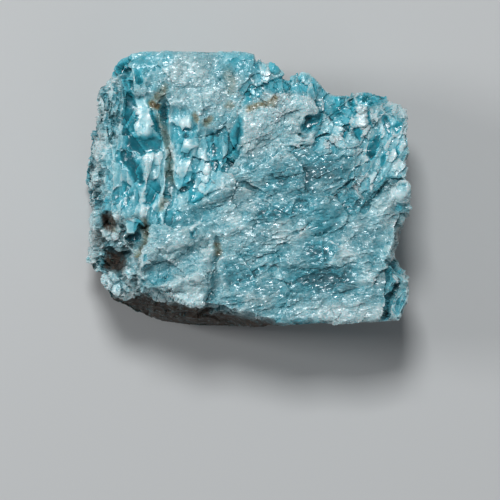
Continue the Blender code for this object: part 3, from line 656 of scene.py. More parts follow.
GROOVES = (
    Groove("bay groove", 0.7, 0.42, (
        (-7.7, 8.9), (-7.2, 7.5), (-7.2, 4.5), (-6.7, 3.3), (-6.7, 0.4), (-7.4, -2.0)), 0.35),
    Groove("seam", 0.35, 0.28, (
        (-0.5, 8.6), (-0.6, 6.3), (-0.7, 4.3), (-1.5, 2.6), (-2.3, 0.8)), 0.25),
    Groove("bay crack", 0.18, 0.25, ((-6.8, 0.6), (-6.1, -0.1), (-4.8, 0.7), (-4.7, 1.9)), 0.5),
    Groove("bay edge crack", 0.2, 0.25, (
        (-5.5, -1.0), (-4.5, -1.2), (-3.2, -0.3), (-2.2, -0.1)), 0.4),
    Groove("rust crack", 0.7, 0.50, ((-8.5, -2.9), (-9.4, -4.8), (-10.2, -6.1)), 0.2),
    Groove("hump groove", 0.40, 0.70, (
        (-3.2, -3.6), (-2.4, -4.5), (-2.4, -5.9), (-2.7, -7.4), (-2.8, -8.8), (-3.4, -10.2), (-3.6, -11.2)), 0.5),
    Groove("hump west crack", 0.4, 0.35, ((-9.8, -6.5), (-9.8, -7.6), (-9.0, -9.3)), 0.4),
    Groove("hump trough", 0.35, 0.90, ((-7.2, -7.8), (-5.0, -7.0), (-2.7, -6.0)), 0.1),
    Groove("diagonal crack", 0.7, 0.36, (
        (15.0, 0.6), (12.5, 0.7), (11.7, -0.2), (10.9, -1.3), (10.1, -2.3)), 0.3),
    Groove("chip crack", 1.2, 0.24, (
        (14.0, -7.3), (13.2, -8.6), (12.6, -10.1), (12.0, -12.3)), 0.6),
    Groove("north-east crack", 0.5, 0.30, ((9.3, 5.7), (9.9, 4.2), (10.4, 3.5)), 0.5),
    Groove("corner groove", 0.35, 0.20, (
        (-11.0, 9.8), (-10.9, 8.1), (-10.9, 6.3), (-10.6, 4.7)), 0.5),
    Groove("bay shelf line", 0.35, 0.16, (
        (-5.0, 4.6), (-4.2, 4.5), (-3.5, 4.8), (-2.6, 4.7), (-1.3, 5.7)), 0.5),
    Groove("hanging line", 0.1, 0.15, ((-6.7, 1.0), (-6.2, -0.2), (-5.4, 0.2), (-4.7, 0.6))),
    Groove("lower bay line", 0.1, 0.12, (
        (-4.7, 0.6), (-4.5, 0.1), (-3.7, -0.6), (-2.8, 0.2), (-2.2, 0.4))),
    Groove("shoulder line", 0.35, 0.12, ((3.1, 8.8), (3.8, 8.7), (4.5, 8.5))),
    Groove("shoulder east line", 0.5, 0.15, ((6.0, 8.4), (6.4, 7.7), (6.4, 6.6), (6.2, 6.0))),
    Groove("plateau long line", 0.45, 0.14, ((-0.9, 0.4), (0.3, 0.0), (1.9, -0.3))),
    Groove("plateau second line", 0.4, 0.14, ((6.3, -0.6), (7.2, -1.0), (8.5, -0.4))),
    Groove("plateau third line", 0.45, 0.15, ((3.8, -4.2), (4.7, -3.7), (5.4, -2.8), (6.2, -2.7))),
    Groove("plateau fourth line", 0.35, 0.12, ((0.5, -2.5), (1.2, -1.9), (1.9, -1.2))),
    Groove("plateau fifth line", 0.35, 0.12, ((5.6, -4.1), (6.7, -4.0), (7.6, -3.7))),
    Groove("plateau sixth line", 0.35, 0.12, ((7.4, 2.6), (8.7, 2.9), (9.7, 2.7))),
    Groove("plateau seventh line", 0.35, 0.12, ((2.6, 1.1), (3.8, 1.1), (4.7, 1.2))),
    Groove("plateau eighth line", 0.3, 0.12, ((8.5, 0.1), (9.3, 0.8), (10.2, 1.0))),
    Groove("crumble line", 0.45, 0.14, ((3.1, 3.5), (4.0, 3.6), (5.1, 4.0), (5.8, 3.8))),
    Groove("crumble second line", 0.45, 0.14, ((3.8, 4.8), (4.7, 5.0), (5.7, 4.8))),
    Groove("crumble third line", 0.45, 0.14, ((4.4, 4.3), (5.4, 4.3))),
    Groove("gulf line", 0.35, 0.1, ((6.2, 3.6), (6.3, 4.7), (7.2, 4.9), (8.3, 4.5))),
    Groove("block line", 0.4, 0.1, ((9.3, 5.9), (9.5, 5.0), (9.9, 4.2), (10.2, 3.6))),
    Groove("lobe line", 0.3, 0.1, ((9.3, -1.7), (10.2, -0.6), (11.1, 0.4))),
    Groove("lobe second line", 0.25, 0.1, ((8.4, -4.5), (9.3, -4.4), (10.2, -3.8))),
    Groove("rim crack", 0.3, 0.1, ((5.6, -10.8), (6.2, -10.7), (6.7, -10.6))),
    Groove("rim second crack", 0.25, 0.1, ((3.3, -9.8), (3.8, -9.5))),
    Groove("hump line", 0.3, 0.1, ((-8.4, -8.9), (-7.4, -9.2), (-6.3, -9.0), (-5.2, -9.2))),
    Groove("hump west line", 0.35, 0.12, (
        (-9.1, -4.8), (-9.7, -5.8), (-9.8, -7.0), (-9.4, -8.2), (-8.8, -9.0))),
    Groove("chip line", 0.4, 0.14, ((12.9, -6.4), (12.5, -7.4), (12.5, -8.8), (12.5, -9.8))),
    Groove("chip second line", 0.2, 0.10, ((13.2, -11.4), (13.5, -10.2), (13.9, -9.1))),
    Groove("band line", 0.12, 0.12, ((6.3, -6.8), (7.6, -7.0), (8.7, -6.6), (9.7, -6.1))),
    Groove("band second line", 0.1, 0.1, ((6.5, -8.8), (7.8, -8.4), (9.2, -7.3))),
    Groove("south line", 0.1, 0.1, ((1.4, -8.5), (2.5, -8.1), (3.8, -8.4), (5.0, -8.1))),
)

FOLDS = (
    Fold("hump valley", -0.80, 1.1, (
        (-9.2, -7.7), (-7.0, -6.9), (-5.7, -6.3), (-4.6, -5.6), (-3.6, -5.2))),
    Fold("hump crest", 0.55, 1.1, (
        (-8.8, -8.9), (-7.1, -8.4), (-5.7, -8.1), (-4.6, -7.9), (-3.8, -7.6))),
    Fold("hump brow", 0.40, 1.1, ((-9.3, -6.6), (-8.4, -5.2), (-7.0, -4.6), (-5.4, -4.6))),
    Fold("hump foot", -0.40, 0.8, ((-9.0, -9.3), (-7.4, -9.6), (-6.0, -9.3), (-4.9, -9.5))),
    Fold("hump rim", 0.25, 0.7, ((-7.2, -10.3), (-5.6, -10.3), (-4.2, -10.6))),
    Fold("plateau brow", 0.30, 1.2, ((-4.6, -0.6), (-1.8, 0.6), (1.6, 1.4), (5.0, 2.0))),
    Fold("plateau trough", -0.35, 1.0, ((-4.2, -2.2), (-1.6, -1.2), (1.6, -0.9), (4.6, -0.5))),
    Fold("plateau swell", 0.30, 1.2, ((-1.8, -3.6), (0.9, -2.6), (3.8, -1.9), (6.4, -1.3))),
    Fold("blue trough", -0.35, 1.1, ((3.8, -5.2), (6.2, -4.4), (8.4, -3.8))),
    Fold("south brow", 0.12, 1.1, ((-0.9, -5.2), (1.8, -5.6), (4.4, -6.4), (7.2, -6.2), (9.8, -5.0))),
    Fold("south trough", -0.10, 1.2, ((1.8, -7.6), (4.9, -7.6), (7.9, -7.9), (9.8, -7.0))),
    Fold("south swell", 0.20, 1.3, ((0.9, -9.6), (4.4, -9.2), (7.9, -9.8), (10.8, -9.4))),
    Fold("shoulder crest", 0.20, 1.3, ((0.6, 5.4), (2.4, 6.9), (4.6, 7.2))),
    Fold("shoulder crown", 0.18, 1.0, ((5.0, 7.7), (5.5, 7.0))),
    Fold("shoulder foot", -0.25, 0.9, ((1.0, 3.3), (3.2, 3.9), (5.2, 5.2))),
    Fold("east brow", 0.25, 1.1, ((6.6, 1.2), (8.6, 2.4), (9.6, 3.6))),
    Fold("east trough", -0.25, 1.0, ((8.2, -2.6), (9.6, -0.6), (10.6, 1.0), (11.2, 2.6))),
    Fold("lobe crest", 0.30, 1.1, ((10.2, -6.4), (11.2, -4.2), (12.4, -2.2))),
    Fold("bay rise", 0.25, 1.0, ((-5.4, 6.0), (-5.2, 4.0), (-5.4, 2.0))),
    Fold("bay fall", -0.15, 0.9, ((-3.6, 6.8), (-3.4, 4.4), (-3.0, 2.2))),
)

# Brown soil on the sheltered faces, which the finish darkens as painted shade. The ledge shade is painted shade
# in brown, and the east face is painted shade only.
EARTH_AND_SHADE = (
    Patch("brown face", 1.0, 0.35, (
        (-13.6, -9.3), (-12.0, -9.5), (-10.4, -9.5), (-9.0, -9.5), (-7.6, -10.2), (-4.1, -10.6),
        (-2.8, -11.1), (-0.6, -11.45), (1.6, -11.75), (3.4, -12.05), (5.4, -12.5), (5.4, -14.0),
        (-14.0, -14.0))),
    Patch("upper cavity", 1.0, 0.35, (
        (-13.0, -1.9), (-11.9, -2.2), (-11.5, -3.0), (-12.0, -3.8), (-12.9, -3.4))),
    Patch("lower cavity", 1.0, 0.40, (
        (-12.6, -5.6), (-10.9, -5.8), (-10.6, -6.6), (-11.2, -7.3), (-12.8, -7.2))),
    Patch("ledge shade", 0.70, 0.30, ((-13.8, -3.6), (-12.6, -4.2), (-12.9, -5.6), (-13.6, -5.0))),
    # Painted shade on the steep east face.
    Patch("east face", 0.55, 0.20, (
        (14.9, -1.4), (14.0, -2.5), (13.3, -4.0), (12.9, -5.8), (13.3, -6.0), (15.2, -4.5))),
)

PATCHES = (
    Patch("pale shoulder", 0.97, 0.3, (
        (0.0, 6.3), (1.4, 8.1), (3.4, 8.6), (4.4, 8.2), (5.8, 8.3), (6.2, 7.2), (6.1, 6.4),
        (5.0, 6.1), (3.8, 5.7), (2.6, 5.0), (1.4, 4.3), (0.1, 3.9), (-0.3, 4.3))),
    Patch("shoulder crown", 1.0, 0.3, ((4.7, 8.1), (5.8, 8.1), (6.2, 7.0), (5.0, 6.5))),
    Patch("white corner", 0.90, 0.4, (
        (-12.9, 9.6), (-11.3, 10.1), (-11.1, 9.1), (-11.9, 8.6), (-12.8, 8.9))),
    Patch("top block skin", 0.8, 0.5, (
        (-6.6, 11.8), (-2.8, 11.8), (-2.7, 9.8), (-3.1, 7.7), (-6.6, 7.5), (-6.8, 9.6))),
    Patch("top block blue corner", 0.66, 0.5, (
        (-11.2, 11.8), (-8.5, 12.1), (-6.6, 11.9), (-6.8, 10.4), (-8.5, 10.5), (-8.9, 9.3),
        (-10.3, 9.3), (-11.0, 10.0)), 0.7),
    Patch("top block east blue", 0.56, 0.5, (
        (-2.2, 12.1), (0.8, 12.1), (1.4, 10.9), (2.8, 10.9), (3.0, 10.0), (0.0, 9.8),
        (-1.5, 10.4), (-2.2, 10.7)), 0.7),
    Patch("west frost", 0.86, 0.5, (
        (-13.3, 9.1), (-11.2, 9.8), (-11.0, 7.0), (-11.4, 3.9), (-13.7, 3.5), (-14.0, 5.2),
        (-13.7, 6.8))),
    Patch("blue plateau strip", 0.25, 0.9, (
        (4.7, 1.7), (8.7, 2.6), (9.3, 1.2), (8.7, -1.9), (4.7, -2.3), (4.4, -0.5))),
    Patch("teal pool", 0.10, 0.9, (
        (6.0, -1.9), (7.6, -1.6), (8.9, -2.2), (8.7, -3.4), (7.0, -3.7), (5.6, -3.0)), 0.3),
    Patch("second teal pool", 0.14, 0.8, (
        (5.4, -4.9), (7.0, -5.0), (7.4, -5.8), (6.2, -6.4), (5.2, -6.0)), 0.25),
    Patch("third teal pool", 0.12, 0.6, ((1.2, -6.1), (2.8, -6.4), (2.4, -7.4), (1.2, -7.3)), 0.3),
    Patch("teal streak", 0.16, 0.7, ((1.2, -1.8), (3.4, -1.5), (5.0, -1.9), (3.2, -2.8), (1.4, -2.6)), 0.3),
    # Painted shade on the band's south-facing slope, in deep teal.
    Patch("dark band", 0.03, 0.9, (
        (5.9, -7.0), (7.6, -6.6), (9.8, -6.0), (10.4, -7.2), (9.4, -8.7), (7.4, -8.8), (6.3, -8.9),
        (4.7, -8.1))),
    Patch("lower blue field", 0.36, 0.9, (
        (-0.9, -3.5), (0.3, -2.9), (1.4, -4.2), (3.8, -4.5), (4.7, -6.5), (3.0, -7.3), (1.4, -6.5),
        (-0.6, -5.8))),
    Patch("lobe band skin", 0.42, 0.7, (
        (9.0, -4.2), (11.0, -3.4), (13.5, -3.7), (12.9, -5.4), (12.5, -7.2), (12.2, -8.9),
        (10.9, -8.1), (10.0, -6.5), (9.2, -5.2))),
    Patch("south rim skin", 0.8, 0.4, (
        (1.4, -9.8), (3.8, -9.6), (8.3, -10.4), (12.5, -9.8), (13.2, -9.8), (12.9, -11.7),
        (1.4, -11.7))),
    Patch("hump brow skin", 0.78, 0.5, (
        (-9.3, -6.2), (-8.6, -4.6), (-7.2, -4.4), (-5.2, -4.3), (-4.9, -5.2), (-6.8, -6.2),
        (-8.6, -7.2))),
    Patch("cell ledge skin", 0.90, 0.15, (
        (-10.0, 3.15), (-7.7, 3.35), (-7.7, 2.9), (-9.9, 2.75))),
    Patch("hollow shade", 0.20, 0.5, (
        (-1.8, -6.5), (-0.6, -6.5), (1.0, -7.0), (0.8, -8.1), (-0.1, -8.6), (-1.3, -8.3),
        (-1.9, -7.6))),
    Patch("rim pit shade", 0.26, 0.4, (
        (-1.7, -9.8), (-1.3, -9.1), (-0.6, -9.4), (-0.3, -10.3), (-0.9, -10.5))),
    Patch("rim white grain", 0.97, 0.6, (
        (3.8, -10.3), (4.7, -9.8), (5.8, -10.5), (5.6, -11.6), (3.8, -11.6))),
    Patch("rim second white grain", 0.95, 0.6, (
        (9.6, -10.0), (11.4, -9.8), (12.3, -10.4), (11.8, -11.4), (9.6, -11.4))),
    # Painted shade in the hump's valley.
    Patch("hump valley shade", 0.44, 0.5, (
        (-8.8, -7.1), (-7.0, -6.5), (-5.6, -6.0), (-4.4, -5.4), (-3.9, -6.0), (-5.3, -7.0),
        (-7.1, -7.6), (-8.9, -8.0))),
    # The hump's crest: pale skin with a painted highlight on it.
    Patch("hump crest skin", 1.0, 0.5, (
        (-8.7, -8.8), (-7.1, -8.2), (-5.7, -7.8), (-3.6, -7.5), (-3.7, -9.2), (-4.4, -10.0),
        (-6.4, -10.0), (-7.9, -9.6))),
    Patch("hump turquoise", 0.4, 0.3, ((-7.8, -3.8), (-7.1, -3.8), (-7.3, -4.7), (-8.1, -4.9))),
    Patch("hump blue top", 0.45, 0.5, (
        (-7.7, -2.2), (-5.4, -1.4), (-5.0, -2.3), (-5.9, -3.5), (-7.2, -3.6))),
    Patch("pit glass", 0.10, 0.3, ((5.0, 6.1), (6.4, 6.4), (6.2, 5.3), (5.2, 5.3)), 0.9),
    Patch("seam foot", 0.24, 0.3, ((-1.3, 3.0), (-1.0, 2.6), (-1.6, 1.3), (-2.4, 1.1), (-2.1, 2.4))),
    Patch("bay turquoise", 0.3, 0.4, ((-6.2, 5.2), (-4.8, 5.0), (-5.0, 2.7), (-6.2, 2.7))),
    Patch("second bay turquoise", 0.34, 0.4, ((-3.7, 4.7), (-1.0, 5.2), (-1.6, 2.1), (-3.1, 1.7))),
    Patch("grey columns", 0.6, 0.4, (
        (-12.9, 3.0), (-11.9, 3.2), (-11.2, 2.6), (-11.2, 0.6), (-12.6, 0.4), (-13.0, 1.7))),
)

STAINS = (
    Stain("strong rust", 0.9, 0.5, ((-8.2, 7.5), (-7.8, 7.3))),
    Stain("rust tail", 0.55, 0.5, ((-7.2, 9.1), (-7.3, 8.6), (-7.7, 8.1))),
    Stain("groove rust", 0.45, 0.45, (
        (-7.7, 6.3), (-7.4, 5.0), (-6.9, 3.9), (-6.7, 2.6), (-6.6, 1.0))),
    Stain("groove foot rust", 0.5, 0.35, ((-7.4, -0.6), (-7.5, -1.7))),
    Stain("corner rust", 0.75, 0.34, ((-4.7, 6.6), (-4.5, 6.2))),
    Stain("second corner rust", 0.7, 0.34, ((-3.6, 5.8), (-3.2, 6.1))),
    Stain("block rust", 0.5, 0.4, ((-1.8, 7.3), (-1.4, 7.3))),
    Stain("upper block rust", 0.3, 0.6, ((-1.8, 10.0), (-1.5, 9.3), (-1.6, 8.6))),
    Stain("ochre streak", 0.78, 0.38, ((0.3, 7.1), (1.0, 7.4), (1.8, 7.6), (2.4, 8.1))),
    Stain("ochre streak end", 0.55, 0.3, ((2.3, 8.0), (2.3, 7.4))),
    Stain("hump rust", 0.66, 0.42, ((-8.9, -2.9), (-8.9, -4.0), (-9.4, -5.0), (-10.0, -5.7))),
    Stain("groove ochre", 0.7, 0.35, ((-2.4, -5.0), (-2.3, -5.8))),
    Stain("west ochre", 0.55, 0.4, ((-11.9, -2.6), (-11.8, -3.5))),
)


@dataclass
class Surface:
    """The upper side at a set of plan positions.

    Attributes:
        height: Its height above the ground plane.
        skin: How pale it is, from 0 for deep teal glass to 1 for white.
        rust: How stained it is, from 0 to 1.
        shade: How much painted shade lies in its clefts, from 0 to 1.
        grain: How grainy it is, from 0 for smooth crystal faces to 1.
        soil_and_shade: How brown it is, from 0 to 1; the brown is darkened as painted shade, and on some faces it
            is painted shade only.
    """

    height: np.ndarray
    skin: np.ndarray
    rust: np.ndarray
    shade: np.ndarray
    grain: np.ndarray
    soil_and_shade: np.ndarray


@dataclass
class UpperSide:
    """The carved and broken upper side of the stone.

    Attributes:
        plateau_height: The height of the main plane over the middle.
        plateau_lean: That plane's rise to the east and to the north, for each millimetre.
        wander: How far cracks and borders stray from their drawn paths.
        taper_reach: How far from its ends a crack starts to close.
        swell_width: The width of the gentle rises all over the upper side.
        swell_height: How high they are.
    """

    plateau_height: float = 12.3
    plateau_lean: Place = (-0.015, 0.02)
    wander: float = 0.25
    taper_reach: float = 1.4
    swell_width: float = 3.2
    swell_height: float = 0.22

    def carve(self, x: np.ndarray, y: np.ndarray) -> Surface:
        """Works out the surface at plan positions.

        Args:
            x: Positions to the east.
            y: Positions to the north.

        Returns:
            The surface there.
        """
        plan = np.stack([x, y], axis=1)
        bent_x = x + self.wander * soft_noise(plan, 1.6, 11) + 0.10 * soft_noise(plan, 0.5, 13)
        bent_y = y + self.wander * soft_noise(plan, 1.6, 12) + 0.10 * soft_noise(plan, 0.5, 14)
        height = self.plateau_height + self.plateau_lean[0] * x + self.plateau_lean[1] * y
        skin = np.full(len(x), 0.55)
        habits = {habit: np.zeros(len(x)) for habit in Habit}
        habits[Habit.FOLIATED] += 1
        for terrace in TERRACES:
            height, skin = self._lay_terrace(terrace, x, y, bent_x, bent_y, height, skin, habits)
        calm = np.ones(len(x))
        lucid = np.zeros(len(x))
        for patch in PATCHES:
            share = ramp(depth_inside(bent_x, bent_y, patch.corners), -patch.edge, patch.edge)
            skin = skin + share * (patch.skin - skin)
            lucid = lucid + share * (patch.clear - lucid)
        for facet in FACETS:
            middle_x, middle_y = np.mean(facet.corners, axis=0)
            share = ramp(depth_inside(bent_x, bent_y, facet.corners), -facet.edge / 2, facet.edge / 2)
            lean = facet.east * (x - middle_x) + facet.north * (y - middle_y)
            height = height + share * (facet.rise + lean)
            skin = skin + share * (facet.skin - skin)
            calm = calm * (1 - 0.88 * share)
        relief, tint, cracks = self._break_up(x, y, habits)
        height = height + self.swell_height * layered_noise(plan, self.swell_width, 15, 2)
        for fold in FOLDS:
            away = distance_to_path(bent_x, bent_y, fold.path) / fold.reach
            height = height + fold.rise * (1 - ramp(away, 0, 1))
        clear = 0.6 * habits[Habit.COLUMNS] + 0.85 * habits[Habit.BLOCKS] + 0.8 * habits[Habit.SLANTED]
        grain = calm * (1 - clear) * (1 - lucid)
        height = height + calm * relief
        skin = skin + (0.15 + 0.85 * calm) * tint
        # Painted shade in the cracks of each habit.
        shade = calm * cracks
        for knob in KNOBS:
            away = np.hypot(x - knob.at[0], y - knob.at[1]) / knob.radius
            dome = knob.height - knob.radius * (1 - np.sqrt(np.clip(1 - away**2, 0, 1)))
            proud = (away < 1) & (dome + 0.4 * relief > height)
            height = np.where(proud, dome + 0.4 * relief, height)
            skin = np.where(proud, knob.skin + 0.5 * tint, skin)
        for slope in SLOPES:
            height = np.minimum(height, self._slope_height(slope, bent_x, bent_y) + 0.8 * relief)
        # Each groove is cut in, and its floor gets painted shade: a lower paleness and more shade.
        for groove in GROOVES:
            near = np.clip(1 - distance_to_path(bent_x, bent_y, groove.path) / groove.reach, 0, 1)
            near = near * self._taper(groove, x, y)
            height = height - groove.depth * near
            skin = skin - 0.35 * groove.shade * ramp(near, 0.1, 0.9)
            shade = np.maximum(shade, groove.shade * ramp(near, 0.45, 1.0))
        rust = np.zeros(len(x))
        for stain in STAINS:
            near = 1 - distance_to_path(bent_x, bent_y, stain.path) / stain.reach
            rust = np.maximum(rust, stain.strength * ramp(near, -0.2, 0.7))
        # Brown on the sheltered faces, darkened as painted shade; the ledge shade and the east face are painted
        # shade only.
        soil_and_shade = np.zeros(len(x))
        for patch in EARTH_AND_SHADE:
            share = ramp(depth_inside(bent_x, bent_y, patch.corners), -patch.edge, patch.edge)
            soil_and_shade = np.maximum(soil_and_shade, patch.skin * share)
        # Where the brown lies, it hides part of the painted shade in the clefts.
        shade = np.clip(shade, 0, 1) * (1 - 0.6 * soil_and_shade)
        return Surface(height, np.clip(skin, 0, 1), rust, shade, grain, soil_and_shade)

    def _lay_terrace(
        self,
        terrace: Terrace,
        x: np.ndarray,
        y: np.ndarray,
        bent_x: np.ndarray,
        bent_y: np.ndarray,
        height: np.ndarray,
        skin: np.ndarray,
        habits: dict[Habit, np.ndarray],
    ) -> tuple[np.ndarray, np.ndarray]:
        """Lays one terrace over what is there, and shares out its habit.

        Args:
            terrace: The terrace.
            x: Positions to the east.
            y: Positions to the north.
            bent_x: The same, strayed.
            bent_y: The same, strayed.
            height: The height so far.
            skin: The paleness so far.
            habits: The share of each habit, which is changed in place.

        Returns:
            The new height and the new paleness.
        """
        middle_x, middle_y = np.mean(terrace.corners, axis=0)
        plane = self.plateau_height + terrace.rise
        plane = plane + terrace.east * (x - middle_x) + terrace.north * (y - middle_y)
        inside = depth_inside(bent_x, bent_y, terrace.corners)
        share = ramp(inside, -terrace.edge / 2, terrace.edge / 2)
        for habit, weight in habits.items():
            goal = 1.0 if habit is terrace.habit else 0.0
            weight += share * (goal - weight)
        return height + share * (plane - height), skin + share * (terrace.skin - skin)

    def _taper(self, groove: Groove, x: np.ndarray, y: np.ndarray) -> np.ndarray:
        """Fades a crack out towards its two ends.

        Args:
            groove: The crack.
            x: Positions to the east.
            y: Positions to the north.

        Returns:
            How open it is at each position, from 0 to 1.
        """
        (east, north), (far_east, far_north) = groove.path[0], groove.path[-1]
        from_end = np.minimum(np.hypot(x - east, y - north), np.hypot(x - far_east, y - far_north))
        return 0.15 + 0.85 * ramp(from_end, 0, self.taper_reach)

    def _slope_height(self, slope: Slope, x: np.ndarray, y: np.ndarray) -> np.ndarray:
        """Gives a slope's height at each position.

        Args:
            slope: The slope.
            x: Positions to the east.
            y: Positions to the north.

        Returns:
            Its height, which climbs steeply past its ends.
        """
        east, north = x - slope.at[0], y - slope.at[1]
        out = east * slope.toward[0] + north * slope.toward[1]
        past_end = np.abs(north * slope.toward[0] - east * slope.toward[1]) - slope.half_width
        return slope.height - slope.drop * out + slope.end_rise * np.clip(past_end, 0, None)

    def _break_up(
        self, x: np.ndarray, y: np.ndarray, habits: dict[Habit, np.ndarray]
    ) -> tuple[np.ndarray, np.ndarray, np.ndarray]:
        """Breaks the surface up in the habit of each place.

        Args:
            x: Positions to the east.
            y: Positions to the north.
            habits: The share of each habit.

        Returns:
            What is added to the height, what is added to the paleness, and the painted shade in the cracks.
        """
        relief, tint, cracks = np.zeros(len(x)), np.zeros(len(x)), np.zeros(len(x))
        for habit, weight in habits.items():
            here = weight > 0.01
            if not here.any():
                continue
            height, pale, crack_shade = HABIT_RELIEF[habit](x[here], y[here])
            relief[here] += weight[here] * height
            tint[here] += weight[here] * pale
            cracks[here] += weight[here] * crack_shade
        return relief, tint, cracks


# What a habit gives: its relief, its change of paleness, and the painted shade in its cracks.
Relief = tuple[np.ndarray, np.ndarray, np.ndarray]


def foliated(x: np.ndarray, y: np.ndarray) -> Relief:
    """Breaks a place into thin plates that run up to the east-north-east.

    Args:
        x: Positions to the east.
        y: Positions to the north.

    Returns:
        The relief, the change of paleness, and the painted shade in the cracks.
    """
    plan = stretched(x, y, 18, 2.2)
    swell = layered_noise(plan, 1.4, 101, 2)
    dashes = layered_noise(plan + 0.1 * swell[:, None], 0.38, 115, 2)
    plates = shatter(plan + 0.15 * swell[:, None], 0.62, 103)
    flakes = shatter(plan + 0.08 * swell[:, None], 0.25, 107)
    open_edge = ramp(soft_noise(plan, 0.8, 109), 0.35, 0.85)
    crack = (1 - ramp(plates.gap, 0.02, 0.12)) * open_edge
    relief = 0.16 * swell + 0.06 * dashes + plates.faces(0.04, 0.07) + flakes.faces(0.03, 0.06)
    tint = 0.10 * (plates.luck[:, 3] - 0.5) + 0.14 * (flakes.luck[:, 3] - 0.5) + 0.08 * dashes
    tint = tint + 0.32 * layered_noise(stretched(x, y, 20, 1.5), 2.2, 113, 3)
    return relief - 0.03 * crack, tint, 0.10 * crack


def columns(x: np.ndarray, y: np.ndarray) -> Relief:
    """Breaks a place into splinters that run from south to north.

    Args:
        x: Positions to the east.
        y: Positions to the north.

    Returns:
        The relief, the change of paleness, and the painted shade in the cracks.
    """
    plan = stretched(x, y, 86, 2.8)
    swell = layered_noise(plan, 1.1, 121, 2)
    ridges = 0.5 - np.abs(soft_noise(plan + 0.25 * swell[:, None], 0.55, 123))
    streaks = layered_noise(stretched(x, y, 86, 6), 0.26, 125, 2)
    splinters = shatter(stretched(x, y, 82, 2.6) + 0.15 * swell[:, None], 0.60, 127)
    relief = 0.22 * swell + 0.26 * ridges + splinters.faces(0.14, 0.16) + 0.06 * streaks
    tint = 0.20 * swell + 0.28 * ridges + 0.20 * streaks + 0.28 * (splinters.luck[:, 0] - 0.45)
    return relief, tint, 0.3 * ramp(-ridges, 0.30, 0.48)


def fibres(x: np.ndarray, y: np.ndarray) -> Relief:
    """Breaks a place into silvery fibres that run from south to north.

    Args:
        x: Positions to the east.
        y: Positions to the north.

    Returns:
        The relief, the change of paleness, and the painted shade in the cracks.
    """
    plan = stretched(x, y, 82, 3.4)
    swell = layered_noise(stretched(x, y, 70, 2.0), 1.3, 128, 2)
    bundles = shatter(plan + 0.1 * swell[:, None], 0.36, 129)
    strands = layered_noise(plan + 0.1 * swell[:, None], 0.20, 126, 2)
    crack = (1 - ramp(bundles.gap, 0.06, 0.30)) * ramp(bundles.luck[:, 2], 0.25, 0.6)
    relief = 0.20 * swell + bundles.faces(0.44, 0.40) + 0.10 * strands - 0.22 * crack
    tint = 0.80 * (bundles.luck[:, 0] - 0.55) + 0.30 * strands - 0.3 * ramp(-swell, 0.2, 0.8)
    return relief, tint, crack


def blocks(x: np.ndarray, y: np.ndarray) -> Relief:
    """Breaks a place into stubby crystals.

    Args:
        x: Positions to the east.
        y: Positions to the north.

    Returns:
        The relief, the change of paleness, and the painted shade in the cracks.
    """
    plan = stretched(x, y, 80, 1.4)
    crystals = shatter(plan, 0.80, 131)
    grains = shatter(plan, 0.30, 137)
    crack = 1 - ramp(crystals.gap, 0.03, 0.14)
    relief = crystals.faces(0.28, 0.26) + grains.faces(0.03, 0.05) - 0.06 * crack
    tint = 0.45 * (crystals.luck[:, 0] - 0.42) + 0.12 * (grains.luck[:, 3] - 0.5)
    return relief, tint, 0.10 * crack


def slanted(x: np.ndarray, y: np.ndarray) -> Relief:
    """Breaks a place into splinters that run down to the south-west.

    Args:
        x: Positions to the east.
        y: Positions to the north.

    Returns:
        The relief, the change of paleness, and the painted shade in the cracks.
    """
    plan = stretched(x, y, 62, 2.2)
    splinters = shatter(plan, 0.50, 141)
    grains = shatter(plan, 0.24, 147)
    crack = (1 - ramp(splinters.gap, 0.03, 0.14)) * ramp(splinters.luck[:, 2], 0.2, 0.7)
    relief = splinters.faces(0.22, 0.26) + grains.faces(0.04, 0.06) - 0.06 * crack
    tint = 0.50 * (splinters.luck[:, 0] - 0.42) + 0.15 * (grains.luck[:, 3] - 0.5)
    return relief, tint, 0.12 * crack


def sugary(x: np.ndarray, y: np.ndarray) -> Relief:
    """Gives a place a fine matte grain.

    Args:
        x: Positions to the east.
        y: Positions to the north.

    Returns:
        The relief, the change of paleness, and the painted shade in the cracks.
    """
    plan = stretched(x, y, 30, 1.3)
    swell = layered_noise(plan, 1.6, 151, 3)
    grains = shatter(plan, 0.34, 157)
    pocks = layered_noise(plan, 0.45, 153, 2)
    relief = 0.16 * swell + 0.06 * pocks + grains.faces(0.06, 0.09)
    tint = 0.14 * swell + 0.08 * pocks + 0.12 * (grains.luck[:, 3] - 0.5)
    return relief, tint, np.zeros(len(x))


def lumps(x: np.ndarray, y: np.ndarray) -> Relief:
    """Breaks a place into rounded knobs.

    Args:
        x: Positions to the east.
        y: Positions to the north.

    Returns:
        The relief, the change of paleness, and the painted shade in the cracks.
    """
    plan = stretched(x, y, 100, 1.4)
    knobs = shatter(plan, 0.85, 161)
    grains = shatter(plan, 0.32, 167)
    dome = 0.5 - (knobs.away**2).sum(axis=1)
    crack = 1 - ramp(knobs.gap, 0.05, 0.2)
    relief = 0.55 * dome + knobs.faces(0.55, 0.25) + grains.faces(0.10, 0.12) - 0.15 * crack
    tint = 0.5 * (knobs.luck[:, 0] - 0.4) + 0.25 * (grains.luck[:, 3] - 0.5)
    return relief, tint, 0.5 * crack


HABIT_RELIEF = {
    Habit.FOLIATED: foliated,
    Habit.COLUMNS: columns,
    Habit.BLOCKS: blocks,
    Habit.SUGARY: sugary,
    Habit.LUMPS: lumps,
    Habit.SLANTED: slanted,
    Habit.FIBRES: fibres,
}


